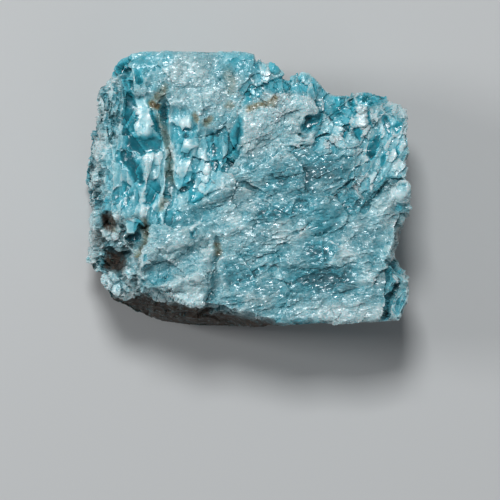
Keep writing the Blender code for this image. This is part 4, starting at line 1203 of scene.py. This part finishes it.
@dataclass
class StoneBody:
    """The whole stone: the upper side, its walls and its resting face.

    Attributes:
        upper: The upper side.
        sheet_cells: The cells along each side of the sheet before it is refined.
        skirt_cuts: The cuts down its skirt before it is refined.
        refine_levels: How many times each cell is then split in four.
        triangles: About how many triangles the finished mesh has.
        rim_drop: How far the rim is worn down.
        rim_reach: How far in the wear goes.
        rim_trim: How far the drawn outline is pulled in to leave room for fragments.
        wall_insets: How far the wall's foot stands in from the rim, by bearing from east.
        wall_waist: How soon the wall turns in below the rim.
        foot_rounding: How far the lowest part of the wall is rounded off.
        foot_height: How high that rounding reaches.
        least_undercut: The smallest share of those insets, which a low rim has.
        thickness: The stone's full height.
        base_sag: How far the base's middle is cut off by the ground.
        base_rim_rise: How far the base turns up to its rim.
        base_flat_share: The share of the base, from the middle, that doesn't turn up.
        foot_share: The share of the skirt that the wall takes; the rest is turned in under it.
        base_hole_share: How far in it is turned, as a share of the base, before one flat face.
        clean_break_span: How far north or south the clean breaks start and are full.
        smoothing_rounds: How often the mesh is smoothed to find what stands proud of it.
        proud_height: How far an edge stands proud before it is as pale as it gets.
        wear_and_cleft_shade: How much paler a worn edge then is, and how much darker a cleft is, as painted
            shade.
    """

    upper: UpperSide = field(default_factory=UpperSide)
    sheet_cells: int = 96
    skirt_cuts: int = 24
    refine_levels: int = 2
    triangles: int = 190_000
    rim_drop: float = 0.45
    rim_reach: float = 0.30
    rim_trim: float = 0.15
    wall_insets: tuple[tuple[float, float], ...] = (
        (-180, 1.3), (-150, 1.2), (-115, 1.4), (-80, 2.4), (-45, 2.6), (-15, 2.0), (20, 2.2),
        (60, 2.0), (90, 1.1), (125, 1.5), (155, 1.6), (180, 1.3),
    )
    wall_waist: float = 1.6
    foot_rounding: float = 1.3
    foot_height: float = 1.8
    least_undercut: float = 0.3
    thickness: float = 13.4
    base_sag: float = 1.0
    base_rim_rise: float = 1.7
    base_flat_share: float = 0.7
    foot_share: float = 0.78
    base_hole_share: float = 0.62
    clean_break_span: Place = (10.9, 11.8)
    smoothing_rounds: int = 10
    proud_height: float = 0.07
    wear_and_cleft_shade: float = 0.20

    def build(self) -> bpy.types.Object:
        """Builds the stone's mesh, with its colour zones as attributes.

        Returns:
            The stone, centred on the frame's axes.
        """
        block = self._sheet_with_skirt()
        mesh = block.data
        sheet = read_vectors(mesh.vertices, "co")
        points, zones = self._wrap(sheet)
        write_vectors(mesh, points * MM)
        normals = read_vectors(mesh.vertices, "normal")
        points = self._split_walls(points, normals, zones)
        points[:, 2] = np.maximum(points[:, 2], 0)
        middle = (points.min(axis=0) + points.max(axis=0)) / 2
        self.shift = (-middle[0], -middle[1])
        points[:, :2] -= middle[:2]
        write_vectors(mesh, points * MM)
        proud = self._prominence(mesh, points)
        # Worn edges turn paler, and clefts get painted shade: a lower paleness and more shade.
        zones["skin"] = np.clip(zones["skin"] + proud, 0, 1)
        zones["shade"] = np.clip(zones["shade"] + 0.8 * np.clip(-proud - 0.08, 0, 1), 0, 1)
        for name, values in zones.items():
            attribute = mesh.attributes.new(name, "FLOAT", "POINT")
            attribute.data.foreach_set("value", values.astype(np.float32))
        self._thin_out(block)
        points = read_vectors(mesh.vertices, "co")
        points[:, 2] = np.maximum(points[:, 2], 0)
        write_vectors(mesh, points)
        block.name = "apatite_stone"
        block.data.name = "apatite_stone"
        return block

    def _sheet_with_skirt(self) -> bpy.types.Object:
        """Makes the fine sheet for the upper side, with a skirt for the walls and one face below.

        Returns:
            The sheet, 2 units wide, whose skirt hangs 1 unit down.
        """
        bpy.ops.mesh.primitive_grid_add(
            x_subdivisions=self.sheet_cells, y_subdivisions=self.sheet_cells, size=2.0
        )
        block = bpy.context.object
        bpy.ops.object.mode_set(mode="EDIT")
        bpy.ops.mesh.select_all(action="SELECT")
        bpy.ops.mesh.region_to_loop()
        bpy.ops.mesh.extrude_edges_move(TRANSFORM_OT_translate={"value": (0, 0, -1)})
        shape = bmesh.from_edit_mesh(block.data)
        for edge in shape.edges:
            top, foot = (vertex.co.z for vertex in edge.verts)
            edge.select_set(abs(top - foot) > 0.5)
        bmesh.update_edit_mesh(block.data)
        bpy.ops.mesh.subdivide(number_cuts=self.skirt_cuts)
        bpy.ops.object.mode_set(mode="OBJECT")
        refine = block.modifiers.new("Refine", "SUBSURF")
        refine.subdivision_type = "SIMPLE"
        refine.levels = self.refine_levels
        refine.render_levels = self.refine_levels
        bpy.ops.object.modifier_apply(modifier=refine.name)
        bpy.ops.object.mode_set(mode="EDIT")
        bpy.ops.mesh.select_all(action="SELECT")
        bpy.ops.mesh.region_to_loop()
        bpy.ops.mesh.edge_face_add()
        bpy.ops.mesh.select_all(action="SELECT")
        bpy.ops.mesh.normals_make_consistent(inside=False)
        bpy.ops.object.mode_set(mode="OBJECT")
        return block

    def _outline_reach(self, bearing: np.ndarray) -> tuple[np.ndarray, np.ndarray]:
        """Measures from the middle to the rim.

        Args:
            bearing: Bearings in radians from east.

        Returns:
            One distance for each bearing, and how far fine nicks move the rim there.
        """
        corners = np.array(OUTLINE)
        corner_bearings = np.arctan2(corners[:, 1], corners[:, 0])
        order = np.argsort(corner_bearings)
        corners, corner_bearings = corners[order], corner_bearings[order]
        after = np.searchsorted(corner_bearings, bearing) % len(corners)
        start, end = corners[after - 1], corners[after]
        edge = end - start
        ray = np.stack([np.cos(bearing), np.sin(bearing)], axis=1)
        start_across = start[:, 0] * edge[:, 1] - start[:, 1] * edge[:, 0]
        ray_across = ray[:, 0] * edge[:, 1] - ray[:, 1] * edge[:, 0]
        reach = start_across / ray_across
        rim = np.stack([reach * np.cos(bearing), reach * np.sin(bearing)], axis=1)
        nibbled = shatter(rim, 0.9, 171).faces(0.16, 0.0) + 0.05 * soft_noise(rim, 0.3, 173)
        return reach - self.rim_trim, nibbled * (1 - 0.75 * self._clean_break(rim[:, 1]))

    def _clean_break(self, y: np.ndarray) -> np.ndarray:
        """Says how clean the rim's break is, from 0 to 1: most on the north side, less on the south."""
        return np.maximum(ramp(y, *self.clean_break_span), 0.7 * ramp(-y, *self.clean_break_span))

    def _wall_inset(self, bearing: np.ndarray, share: np.ndarray) -> np.ndarray:
        """Measures how far the wall stands in from the rim.

        Args:
            bearing: Bearings in radians from east.
            share: The share of the wall's height, from foot to rim.

        Returns:
            One distance for each place.
        """
        bearings, insets = zip(*self.wall_insets)
        foot = np.interp(np.degrees(bearing), bearings, insets)
        lean = foot * np.clip(1 - share, 0, 1) ** self.wall_waist
        low = np.clip(1 - share * self.thickness / self.foot_height, 0, 1)
        return lean + self.foot_rounding * low**2

    def _wrap(self, sheet: np.ndarray) -> tuple[np.ndarray, dict[str, np.ndarray]]:
        """Wraps the sheet and its skirt onto the stone.

        Args:
            sheet: The points of the sheet and its skirt.

        Returns:
            Their places on the stone, and the colour zones.
        """
        u, v, w = sheet.T
        spread = np.maximum(np.abs(u), np.abs(v))
        safe = np.where(spread > 0, spread, 1)
        bearing = np.where(
            np.abs(u) >= np.abs(v),
            math.pi / 4 * v / safe * np.sign(u) + np.where(u < 0, math.pi, 0),
            math.pi / 2 * np.sign(v) - math.pi / 4 * u / safe * np.sign(v),
        )
        bearing = np.arctan2(np.sin(bearing), np.cos(bearing))
        on_top = w > -1e-6
        up = np.clip(1 + w / self.foot_share, 0, 1)
        turned_in = np.clip((-w - self.foot_share) / (1 - self.foot_share), 0, 1)
        base_share = 1 - turned_in * (1 - self.base_hole_share)
        key, back = np.unique(np.round(bearing, 7), return_inverse=True)
        smooth_reach, nicks = self._outline_reach(key)
        rim_reach = smooth_reach + nicks
        rim = self.upper.carve(rim_reach * np.cos(key), rim_reach * np.sin(key))
        rim_reach = rim_reach[back]
        wall_reach = smooth_reach[back] + nicks[back] * ramp(up, 0.6, 1)
        undercut = np.clip(rim.height[back] / self.upper.plateau_height, self.least_undercut, 1)
        reach = base_share * (wall_reach - undercut * self._wall_inset(bearing, up))
        reach = np.where(on_top, spread * rim_reach, reach)
        x, y = reach * np.cos(bearing), reach * np.sin(bearing)
        foot = -self.base_sag + self.base_rim_rise * ramp(base_share, self.base_flat_share, 1)
        height = foot + up * (rim.height[back] - self.rim_drop - foot)
        top = self.upper.carve(x[on_top], y[on_top])
        from_rim = rim_reach[on_top] * (1 - spread[on_top])
        height[on_top] = top.height - self.rim_drop * np.exp(-from_rim / self.rim_reach)
        points = np.stack([x, y, height], axis=1)
        return points, self._zones(points, up, on_top, top, rim, back)

    def _zones(
        self,
        points: np.ndarray,
        up: np.ndarray,
        on_top: np.ndarray,
        top: Surface,
        rim: Surface,
        back: np.ndarray,
    ) -> dict[str, np.ndarray]:
        """Works out the colour zones all over the stone.

        Args:
            points: The stone's points.
            up: The share of the wall's height at each point.
            on_top: Which points are on the upper side.
            top: The surface of the upper side.
            rim: The surface round the rim.
            back: Which rim place stands above each point.

        Returns:
            The zones by name: skin, rust, shade, which is painted shade in the clefts, soil_and_shade, which is
                brown darkened as painted shade, and grain, and upper, 1 on the upper side.
        """
        rim_skin = rim.skin[back]
        blend = ramp(up, 0.75, 1.0)
        cloud = layered_noise(points, 3.0, 181, 3)
        streak = layered_noise(points * np.array([1, 1, 0.35]), 1.0, 185, 2)
        side_skin = 0.52 + 0.22 * cloud + 0.15 * streak
        skin = side_skin + blend * (rim_skin - side_skin)
        # Brown on the walls, most of it low down and on the south-west walls; the finish darkens this brown as
        # painted shade.
        soil_and_shade = np.clip(0.25 + 0.9 * layered_noise(points, 4.0, 191, 3) - 0.6 * up, 0, 1)
        south_west = ramp(-points[:, 1] - 0.2 * points[:, 0] + 0.8 * cloud, 7.0, 9.5)
        soil_and_shade = np.maximum(soil_and_shade, south_west * ramp(3.5 * cloud + 2.0 * streak - points[:, 0], -6, -1))
        shade = np.zeros(len(points))
        rust = np.clip(1.6 * layered_noise(points, 2.2, 195, 3) - 1.0, 0, 0.8) * (1 - blend)
        skin[on_top] = top.skin
        rust[on_top] = top.rust
        shade[on_top] = top.shade
        soil_and_shade[on_top] = top.soil_and_shade
        grain = np.full(len(points), 0.8)
        grain[on_top] = top.grain
        return {
            "skin": np.clip(skin, 0, 1), "rust": rust, "shade": shade, "soil_and_shade": soil_and_shade, "grain": grain,
            "upper": on_top.astype(float), "up": up,
        }

    def _split_walls(
        self, points: np.ndarray, normals: np.ndarray, zones: dict[str, np.ndarray]
    ) -> np.ndarray:
        """Splits the walls and the base into flat fragments, large and small.

        Args:
            points: The stone's points.
            normals: The way that each faces.
            zones: The colour zones, whose skin and shade are changed in place.

        Returns:
            The points, pushed in and out.
        """
        facing_up = np.clip(normals[:, 2], 0, 1)
        side = 1 - facing_up * zones["upper"]
        large = shatter(points, 3.3, 21)
        small = shatter(points + 0.08 * soft_noise(points, 0.7, 27)[:, None], 1.1, 41)
        fine = shatter(points * np.array([1, 1, 0.6]), 0.42, 51)
        push = (0.15 + 0.85 * side) * (large.faces(0.86, 0.82) - 0.15)
        push = push + side * (small.faces(0.30, 0.40) + fine.faces(0.10, 0.12))
        crack = side * (1 - ramp(small.gap, 0.02, 0.10)) * ramp(small.luck[:, 3], 0.4, 0.8)
        push = (np.minimum(push, 0.35) - 0.10 * crack) * (1 - 0.6 * zones["soil_and_shade"])
        near_rim = ramp(zones["up"], 0.55, 0.9) * (1 - zones["upper"])
        push = push * (1 - 0.75 * near_rim) * (1 - 0.7 * self._clean_break(points[:, 1]))
        # Painted shade in the wall cracks.
        zones["shade"] = np.maximum(zones["shade"], 0.7 * crack)
        change = 0.35 * (small.luck[:, 0] - 0.5) + 0.25 * (fine.luck[:, 0] - 0.5)
        zones["skin"] = np.clip(zones["skin"] + side * change, 0, 1)
        return points + normals * push[:, None]

    def _prominence(self, mesh: bpy.types.Mesh, points: np.ndarray) -> np.ndarray:
        """Finds worn edges, which are paler, and clefts, which get painted shade.

        Args:
            mesh: The stone's mesh.
            points: Its points.

        Returns:
            What each point's paleness gains, which is negative in the clefts, where it is painted shade.
        """
        ends = np.empty(len(mesh.edges) * 2, np.int32)
        mesh.edges.foreach_get("vertices", ends)
        here, there = ends[0::2], ends[1::2]
        count = len(points)
        neighbours = np.bincount(here, minlength=count) + np.bincount(there, minlength=count)
        smooth = points.copy()
        for _ in range(self.smoothing_rounds):
            for axis in range(3):
                total = np.bincount(here, smooth[there, axis], count)
                total += np.bincount(there, smooth[here, axis], count)
                smooth[:, axis] = 0.5 * smooth[:, axis] + 0.5 * total / neighbours
        normals = read_vectors(mesh.vertices, "normal")
        proud = ((points - smooth) * normals).sum(axis=1) / self.proud_height
        return np.clip(proud, -1, 1) * self.wear_and_cleft_shade

    def _thin_out(self, block: bpy.types.Object) -> None:
        """Merges faces where the surface is nearly flat, and marks sharp edges.

        Args:
            block: The stone.
        """
        select_only(block)
        thin = block.modifiers.new("Thin out", "DECIMATE")
        thin.ratio = self.triangles / (2 * len(block.data.polygons))
        bpy.ops.object.modifier_apply(modifier=thin.name)
        bpy.ops.object.shade_smooth_by_angle(angle=math.radians(32))


def read_vectors(collection: bpy.types.bpy_prop_collection, name: str) -> np.ndarray:
    """Reads a vector of each element of a mesh.

    Args:
        collection: The mesh's vertices.
        name: The vector's name.

    Returns:
        Rows of three numbers.
    """
    values = np.empty(len(collection) * 3, np.float32)
    collection.foreach_get(name, values)
    return values.reshape(-1, 3).astype(float)


def write_vectors(mesh: bpy.types.Mesh, points: np.ndarray) -> None:
    """Moves a mesh's vertices.

    Args:
        mesh: The mesh.
        points: Their new places.
    """
    mesh.vertices.foreach_set("co", points.ravel())
    mesh.update()


def select_only(piece: bpy.types.Object) -> None:
    """Makes a piece the only selected and active one.

    Args:
        piece: The piece.
    """
    bpy.ops.object.select_all(action="DESELECT")
    piece.select_set(True)
    bpy.context.view_layer.objects.active = piece


class NodeBoard:
    """Lays out a material's nodes."""

    def __init__(self, material: bpy.types.Material) -> None:
        """Empties the material's node tree.

        Args:
            material: The material.
        """
        material.use_nodes = True
        self.tree = material.node_tree
        self.tree.nodes.clear()

    def add(self, kind: str, **settings: object) -> bpy.types.Node:
        """Adds a node.

        Args:
            kind: The node's type.
            **settings: Its properties by name.

        Returns:
            The node.
        """
        node = self.tree.nodes.new(kind)
        for name, value in settings.items():
            setattr(node, name, value)
        return node

    def feed(self, socket: bpy.types.NodeSocket, value: object) -> None:
        """Links an output to an input, or sets the input.

        Args:
            socket: The input.
            value: An output socket, a number or a colour.
        """
        if isinstance(value, bpy.types.NodeSocket):
            self.tree.links.new(value, socket)
        else:
            socket.default_value = value

    def math(self, operation: str, first: object, second: object = 0.0, clamp: bool = False) -> object:
        """Adds a sum.

        Args:
            operation: Its kind.
            first: Its first value.
            second: Its second value.
            clamp: Whether it is kept from 0 to 1.

        Returns:
            Its output.
        """
        node = self.add("ShaderNodeMath", operation=operation, use_clamp=clamp)
        self.feed(node.inputs[0], first)
        self.feed(node.inputs[1], second)
        return node.outputs[0]

    def mix(self, share: object, first: object, second: object, blend: str = "MIX") -> object:
        """Mixes two colours.

        Args:
            share: How much of the second is used.
            first: The first colour.
            second: The second colour.
            blend: The way of mixing.

        Returns:
            The mixed colour.
        """
        node = self.add("ShaderNodeMix", data_type="RGBA", blend_type=blend)
        self.feed(node.inputs["Factor"], share)
        self.feed(node.inputs[6], first)
        self.feed(node.inputs[7], second)
        return node.outputs[2]

    def noise(self, vector: object, size: float, detail: float, roughness: float = 0.55) -> object:
        """Adds noise of a size in millimetres.

        Args:
            vector: Where it is read, in millimetres.
            size: The width of its bumps.
            detail: How many finer layers it has.
            roughness: How strong they are.

        Returns:
            Its value.
        """
        node = self.add("ShaderNodeTexNoise")
        self.feed(node.inputs["Vector"], vector)
        node.inputs["Scale"].default_value = 1 / size
        node.inputs["Detail"].default_value = detail
        node.inputs["Roughness"].default_value = roughness
        return node.outputs["Fac"]

    def attribute(self, name: str) -> object:
        """Reads one of the mesh's attributes.

        Args:
            name: The attribute's name.

        Returns:
            Its value.
        """
        node = self.add("ShaderNodeAttribute", attribute_name=name)
        return node.outputs["Fac"]

    def spread(self, value: object, low: float, high: float, to_low: float, to_high: float) -> object:
        """Spreads a range of values onto another.

        Args:
            value: The value.
            low: The range's start.
            high: The range's end.
            to_low: What the start becomes.
            to_high: What the end becomes.

        Returns:
            The new value.
        """
        node = self.add("ShaderNodeMapRange")
        for name, number in (
            ("From Min", low), ("From Max", high), ("To Min", to_low), ("To Max", to_high),
        ):
            node.inputs[name].default_value = number
        self.feed(node.inputs["Value"], value)
        return node.outputs["Result"]


@dataclass(frozen=True)
class ApatiteFinish:
    """The stone's finish, from deep teal glass to a white, silky skin.

    Attributes:
        tones: The colours from the deepest to the palest, each with its place from 0 to 1.
        rust: The stronger stain.
        ochre: The weaker stain.
        earth_and_shade: The brown that clings to the sheltered faces, darkened as painted shade.
        dark_ash: The grey-green veil over parts of the deeper skin.
        pale_ash: The same over the palest skin.
        cleft_shade: The painted shade in the open cracks.
        glass_roughness: The roughness of fresh breaks.
        skin_roughness: The roughness of the pale skin.
        flake_width: The width of the smallest flat flakes, in millimetres.
        flake_stretch: How many times longer they are to the east-north-east.
        flake_bearing: The way that they run, in degrees from east to north.
        flake_tilt: How far a flake leans, as its rise over its run.
        flake_gloss: How much less rough one flake in four is.
        grain_width: The width of the finest grain, in millimetres.
        grain_depth: How deep it is, in millimetres.
        glow: The share of the light that passes through the stone's skin.
        glow_reach: How far its red, green and blue go, in millimetres.
    """

    tones: tuple[tuple[float, Colour], ...] = (
        (0.00, (0.003, 0.115, 0.155)),
        (0.14, (0.010, 0.235, 0.300)),
        (0.34, (0.055, 0.465, 0.575)),
        (0.58, (0.140, 0.510, 0.605)),
        (0.82, (0.330, 0.675, 0.745)),
        (1.00, (0.700, 0.905, 0.945)),
    )
    rust: Colour = (0.130, 0.085, 0.040)
    ochre: Colour = (0.250, 0.230, 0.125)
    earth_and_shade: Colour = (0.047, 0.029, 0.018)
    dark_ash: Colour = (0.120, 0.240, 0.275)
    pale_ash: Colour = (0.510, 0.640, 0.645)
    cleft_shade: Colour = (0.008, 0.050, 0.060)
    glass_roughness: float = 0.22
    skin_roughness: float = 0.30
    flake_width: float = 0.17
    flake_stretch: float = 2.6
    flake_bearing: float = 20.0
    flake_tilt: float = 0.36
    flake_gloss: float = 0.10
    grain_width: float = 0.09
    grain_depth: float = 0.010
    glow: float = 0.35
    glow_reach: Colour = (0.3, 0.8, 0.9)

    def material(self) -> bpy.types.Material:
        """Builds the material.

        Returns:
            The material, which reads the stone's skin, rust, shade and soil_and_shade attributes.
        """
        material = bpy.data.materials.new("apatite_stone")
        board = NodeBoard(material)
        place = board.add("ShaderNodeTexCoord").outputs["Object"]
        scale = board.add("ShaderNodeVectorMath", operation="SCALE")
        board.feed(scale.inputs[0], place)
        scale.inputs["Scale"].default_value = 1 / MM
        vector = scale.outputs[0]
        grain = board.attribute("grain")
        flake_luck, flake_height = self._flakes(board, vector)
        flake_height = board.math("MULTIPLY", flake_height, grain)
        skin = self._mottled(board, vector, flake_luck)
        colour = self._toned(board, skin)
        veil = board.spread(board.noise(vector, 2.4, 4, 0.6), 0.36, 0.68, 0.34, 0.76)
        veil = board.math("MULTIPLY", veil, board.math("MAXIMUM", grain, board.spread(skin, 0.6, 0.95, 0, 0.7)))
        ash = board.mix(board.spread(skin, 0.3, 0.9, 0, 1), (*self.dark_ash, 1), (*self.pale_ash, 1))
        colour = board.mix(veil, colour, ash)
        colour = self._stained(board, vector, colour)
        shader = board.add("ShaderNodeBsdfPrincipled")
        board.feed(shader.inputs["Base Color"], colour)
        roughness = board.spread(skin, 0.1, 0.8, self.glass_roughness, self.skin_roughness)
        speckle = board.noise(vector, 0.25, 3)
        roughness = board.math("ADD", roughness, board.spread(speckle, 0.3, 0.7, -0.08, 0.08))
        glossy = board.math("MULTIPLY", board.math("GREATER_THAN", flake_luck, 0.75), -self.flake_gloss)
        roughness = board.math("ADD", roughness, glossy)
        roughness = board.math("ADD", roughness, board.math("MULTIPLY", board.attribute("soil_and_shade"), 0.6))
        board.feed(shader.inputs["Roughness"], roughness)
        shader.inputs["IOR"].default_value = 1.63
        shader.inputs["Subsurface Weight"].default_value = self.glow
        shader.inputs["Subsurface Radius"].default_value = self.glow_reach
        shader.inputs["Subsurface Scale"].default_value = MM
        board.feed(shader.inputs["Normal"], self._grain(board, vector, flake_height))
        output = board.add("ShaderNodeOutputMaterial")
        board.feed(output.inputs["Surface"], shader.outputs["BSDF"])
        return material

    def _flakes(self, board: NodeBoard, vector: object) -> tuple[object, object]:
        """Splits the surface into its smallest flat flakes.

        Args:
            board: The material's nodes.
            vector: The place on the stone, in millimetres.

        Returns:
            A number from 0 to 1 that is each flake's own, and the height of its flat face.
        """
        turn = board.add("ShaderNodeMapping")
        turn.inputs["Rotation"].default_value = (0, 0, -math.radians(self.flake_bearing))
        turn.inputs["Scale"].default_value = (1 / self.flake_stretch, 1, 1)
        board.feed(turn.inputs["Vector"], vector)
        cells = board.add("ShaderNodeTexVoronoi", feature="F1")
        cells.inputs["Scale"].default_value = 1 / self.flake_width
        board.feed(cells.inputs["Vector"], turn.outputs["Vector"])
        away = board.add("ShaderNodeVectorMath", operation="SUBTRACT")
        board.feed(away.inputs[0], turn.outputs["Vector"])
        board.feed(away.inputs[1], cells.outputs["Position"])
        lean = board.add("ShaderNodeVectorMath", operation="SUBTRACT")
        board.feed(lean.inputs[0], cells.outputs["Color"])
        lean.inputs[1].default_value = (0.5, 0.5, 0.5)
        face = board.add("ShaderNodeVectorMath", operation="DOT_PRODUCT")
        board.feed(face.inputs[0], away.outputs[0])
        board.feed(face.inputs[1], lean.outputs[0])
        own = board.add("ShaderNodeSeparateColor")
        board.feed(own.inputs[0], cells.outputs["Color"])
        return own.outputs[0], board.math("MULTIPLY", face.outputs["Value"], 2 * self.flake_tilt)

    def _mottled(self, board: NodeBoard, vector: object, flake_luck: object) -> object:
        """Mottles the stone's paleness.

        Args:
            board: The material's nodes.
            vector: The place on the stone, in millimetres.
            flake_luck: A number that is each flake's own.

        Returns:
            The paleness, from 0 to 1.
        """
        skin = board.attribute("skin")
        coarse = board.noise(vector, 0.9, 6, 0.65)
        skin = board.math("ADD", skin, board.spread(coarse, 0.25, 0.75, -0.12, 0.12))
        fine = board.noise(vector, 0.14, 3)
        speckle = board.math(
            "ADD", board.spread(flake_luck, 0, 1, -0.08, 0.08), board.spread(fine, 0.3, 0.7, -0.14, 0.14)
        )
        speckle = board.math("MULTIPLY", speckle, board.attribute("grain"))
        return board.math("ADD", skin, speckle, clamp=True)

    def _toned(self, board: NodeBoard, skin: object) -> object:
        """Turns paleness into colour.

        Args:
            board: The material's nodes.
            skin: The paleness.

        Returns:
            The colour.
        """
        tones = board.add("ShaderNodeValToRGB")
        board.feed(tones.inputs["Fac"], skin)
        elements = tones.color_ramp.elements
        for index, (place, colour) in enumerate(self.tones):
            element = elements[index] if index < 2 else elements.new(place)
            element.position = place
            element.color = (*colour, 1)
        return tones.outputs["Color"]

    def _stained(self, board: NodeBoard, vector: object, colour: object) -> object:
        """Adds rust, the brown of the sheltered faces darkened as painted shade, and painted shade in the clefts.

        Args:
            board: The material's nodes.
            vector: The place on the stone, in millimetres.
            colour: The stone's own colour.

        Returns:
            The stained colour.
        """
        patchy = board.noise(vector, 0.5, 5, 0.7)
        rust = board.attribute("rust")
        strength = board.math("MULTIPLY", rust, board.spread(patchy, 0.3, 0.62, 0.7, 1.4), clamp=True)
        stain = board.mix(board.spread(rust, 0.7, 1.0, 0, 1), (*self.ochre, 1), (*self.rust, 1))
        colour = board.mix(strength, colour, stain)
        # Brown on the sheltered faces, darkened as painted shade, and painted shade only on some faces.
        soil_and_shade = board.math(
            "MULTIPLY", board.attribute("soil_and_shade"), board.spread(patchy, 0.35, 0.6, 0.72, 1.25), clamp=True
        )
        colour = board.mix(soil_and_shade, colour, (*self.earth_and_shade, 1))
        # Painted shade: the clefts are mixed towards a dark teal.
        shade = board.math("MULTIPLY", board.attribute("shade"), 0.85)
        return board.mix(shade, colour, (*self.cleft_shade, 1))

    def _grain(self, board: NodeBoard, vector: object, flake_height: object) -> object:
        """Gives the surface its finest relief.

        Args:
            board: The material's nodes.
            vector: The place on the stone, in millimetres.
            flake_height: The height of the flakes' flat faces, in millimetres.

        Returns:
            The normal.
        """
        grain = board.math("MULTIPLY", board.noise(vector, self.grain_width, 3, 0.6), self.grain_depth)
        bump = board.add("ShaderNodeBump")
        bump.inputs["Distance"].default_value = MM
        bump.inputs["Strength"].default_value = 1.0
        board.feed(bump.inputs["Height"], board.math("ADD", grain, flake_height))
        return bump.outputs["Normal"]


@dataclass(frozen=True)
class FloorFinish:
    """A plain pale matte floor.

    Attributes:
        colour: Its colour.
        roughness: Its roughness.
    """

    colour: Colour = (0.60, 0.60, 0.595)
    roughness: float = 0.9

    def material(self) -> bpy.types.Material:
        """Builds the material.

        Returns:
            The material.
        """
        material = bpy.data.materials.new("pale_floor")
        board = NodeBoard(material)
        shader = board.add("ShaderNodeBsdfPrincipled")
        shader.inputs["Base Color"].default_value = (*self.colour, 1)
        shader.inputs["Roughness"].default_value = self.roughness
        output = board.add("ShaderNodeOutputMaterial")
        board.feed(output.inputs["Surface"], shader.outputs["BSDF"])
        return material


@dataclass
class Studio:
    """The floor, the light and the camera above the stone.

    Attributes:
        floor_width: The floor's width, in metres.
        camera_height: The camera's height above the floor, in metres.
        picture_width: The width that the picture takes in at the stone's upper side, in metres.
        upper_height: The height of that side, in metres.
        picture_middle: The middle of the picture in the stone's own plan, in millimetres.
    """

    floor_width: float = 3.0
    camera_height: float = 0.33
    picture_width: float = 500 * 0.0885 * MM
    upper_height: float = 12.0 * MM
    picture_middle: Place = (0.31, -5.40)

    def build(self, shift: Place) -> None:
        """Sets the floor, lights and camera.

        Args:
            shift: How far the stone was moved from its own plan, in millimetres.
        """
        self._floor()
        self._air()
        self._lamp("key", (-0.03, 0.21, 0.40), 0.11, 1.25, (0.97, 1.0, 1.02))
        self._lamp("west_glint", (-0.36, 0.06, 0.22), 0.10, 0.62, (0.96, 0.985, 1.0))
        self._lamp("fill", (0.22, -0.22, 0.40), 0.30, 0.12, (0.95, 0.98, 1.0))
        self._camera(shift)

    def _floor(self) -> None:
        """Lays the floor."""
        bpy.ops.mesh.primitive_plane_add(size=self.floor_width)
        floor = bpy.context.object
        floor.name = "floor"
        floor.data.materials.append(FloorFinish().material())

    def _air(self) -> None:
        """Sets the even light from all round."""
        world = bpy.data.worlds.new("studio")
        bpy.context.scene.world = world
        world.use_nodes = True
        background = world.node_tree.nodes["Background"]
        background.inputs["Color"].default_value = (0.86, 0.92, 1.0, 1)
        background.inputs["Strength"].default_value = 0.11
        bpy.context.scene.view_settings.view_transform = "Standard"

    def _lamp(self, name: str, place: tuple[float, float, float], width: float, power: float,
              colour: Colour) -> None:
        """Hangs a square lamp that shines at the stone.

        Args:
            name: Its name.
            place: Where it hangs, in metres.
            width: Its width, in metres.
            power: Its power, in watts.
            colour: Its colour.
        """
        bpy.ops.object.light_add(type="AREA", location=place)
        lamp = bpy.context.object
        lamp.name = name
        lamp.data.name = name
        lamp.data.size = width
        lamp.data.energy = power
        lamp.data.color = colour
        aim = Vector((0, 0, 0.006)) - Vector(place)
        lamp.rotation_euler = aim.to_track_quat("-Z", "Y").to_euler()

    def _camera(self, shift: Place) -> None:
        """Hangs the camera straight above the picture's middle.

        Args:
            shift: How far the stone was moved from its own plan, in millimetres.
        """
        east = (self.picture_middle[0] + shift[0]) * MM
        north = (self.picture_middle[1] + shift[1]) * MM
        bpy.ops.object.camera_add(location=(east, north, self.camera_height), rotation=(0, 0, 0))
        camera = bpy.context.object
        camera.name = "camera"
        camera.data.sensor_width = 36
        distance = self.camera_height - self.upper_height
        camera.data.lens = camera.data.sensor_width * distance / self.picture_width
        camera.data.clip_start = 0.01
        bpy.context.scene.camera = camera


def main() -> None:
    """Builds the stone on its frame, then the studio round it."""
    logging.basicConfig(level=logging.INFO, format="%(name)s: %(message)s")
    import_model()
    bpy.ops.object.select_all(action="DESELECT")
    body = StoneBody()
    stone = body.build()
    stone.data.materials.append(ApatiteFinish().material())
    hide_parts("apatite")
    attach(stone, "root")
    log.info("stone: %d triangles", sum(len(face.vertices) - 2 for face in stone.data.polygons))
    Studio().build(body.shift)
    log.info("studio: floor, lamps and camera")


if __name__ == "__main__":
    main()
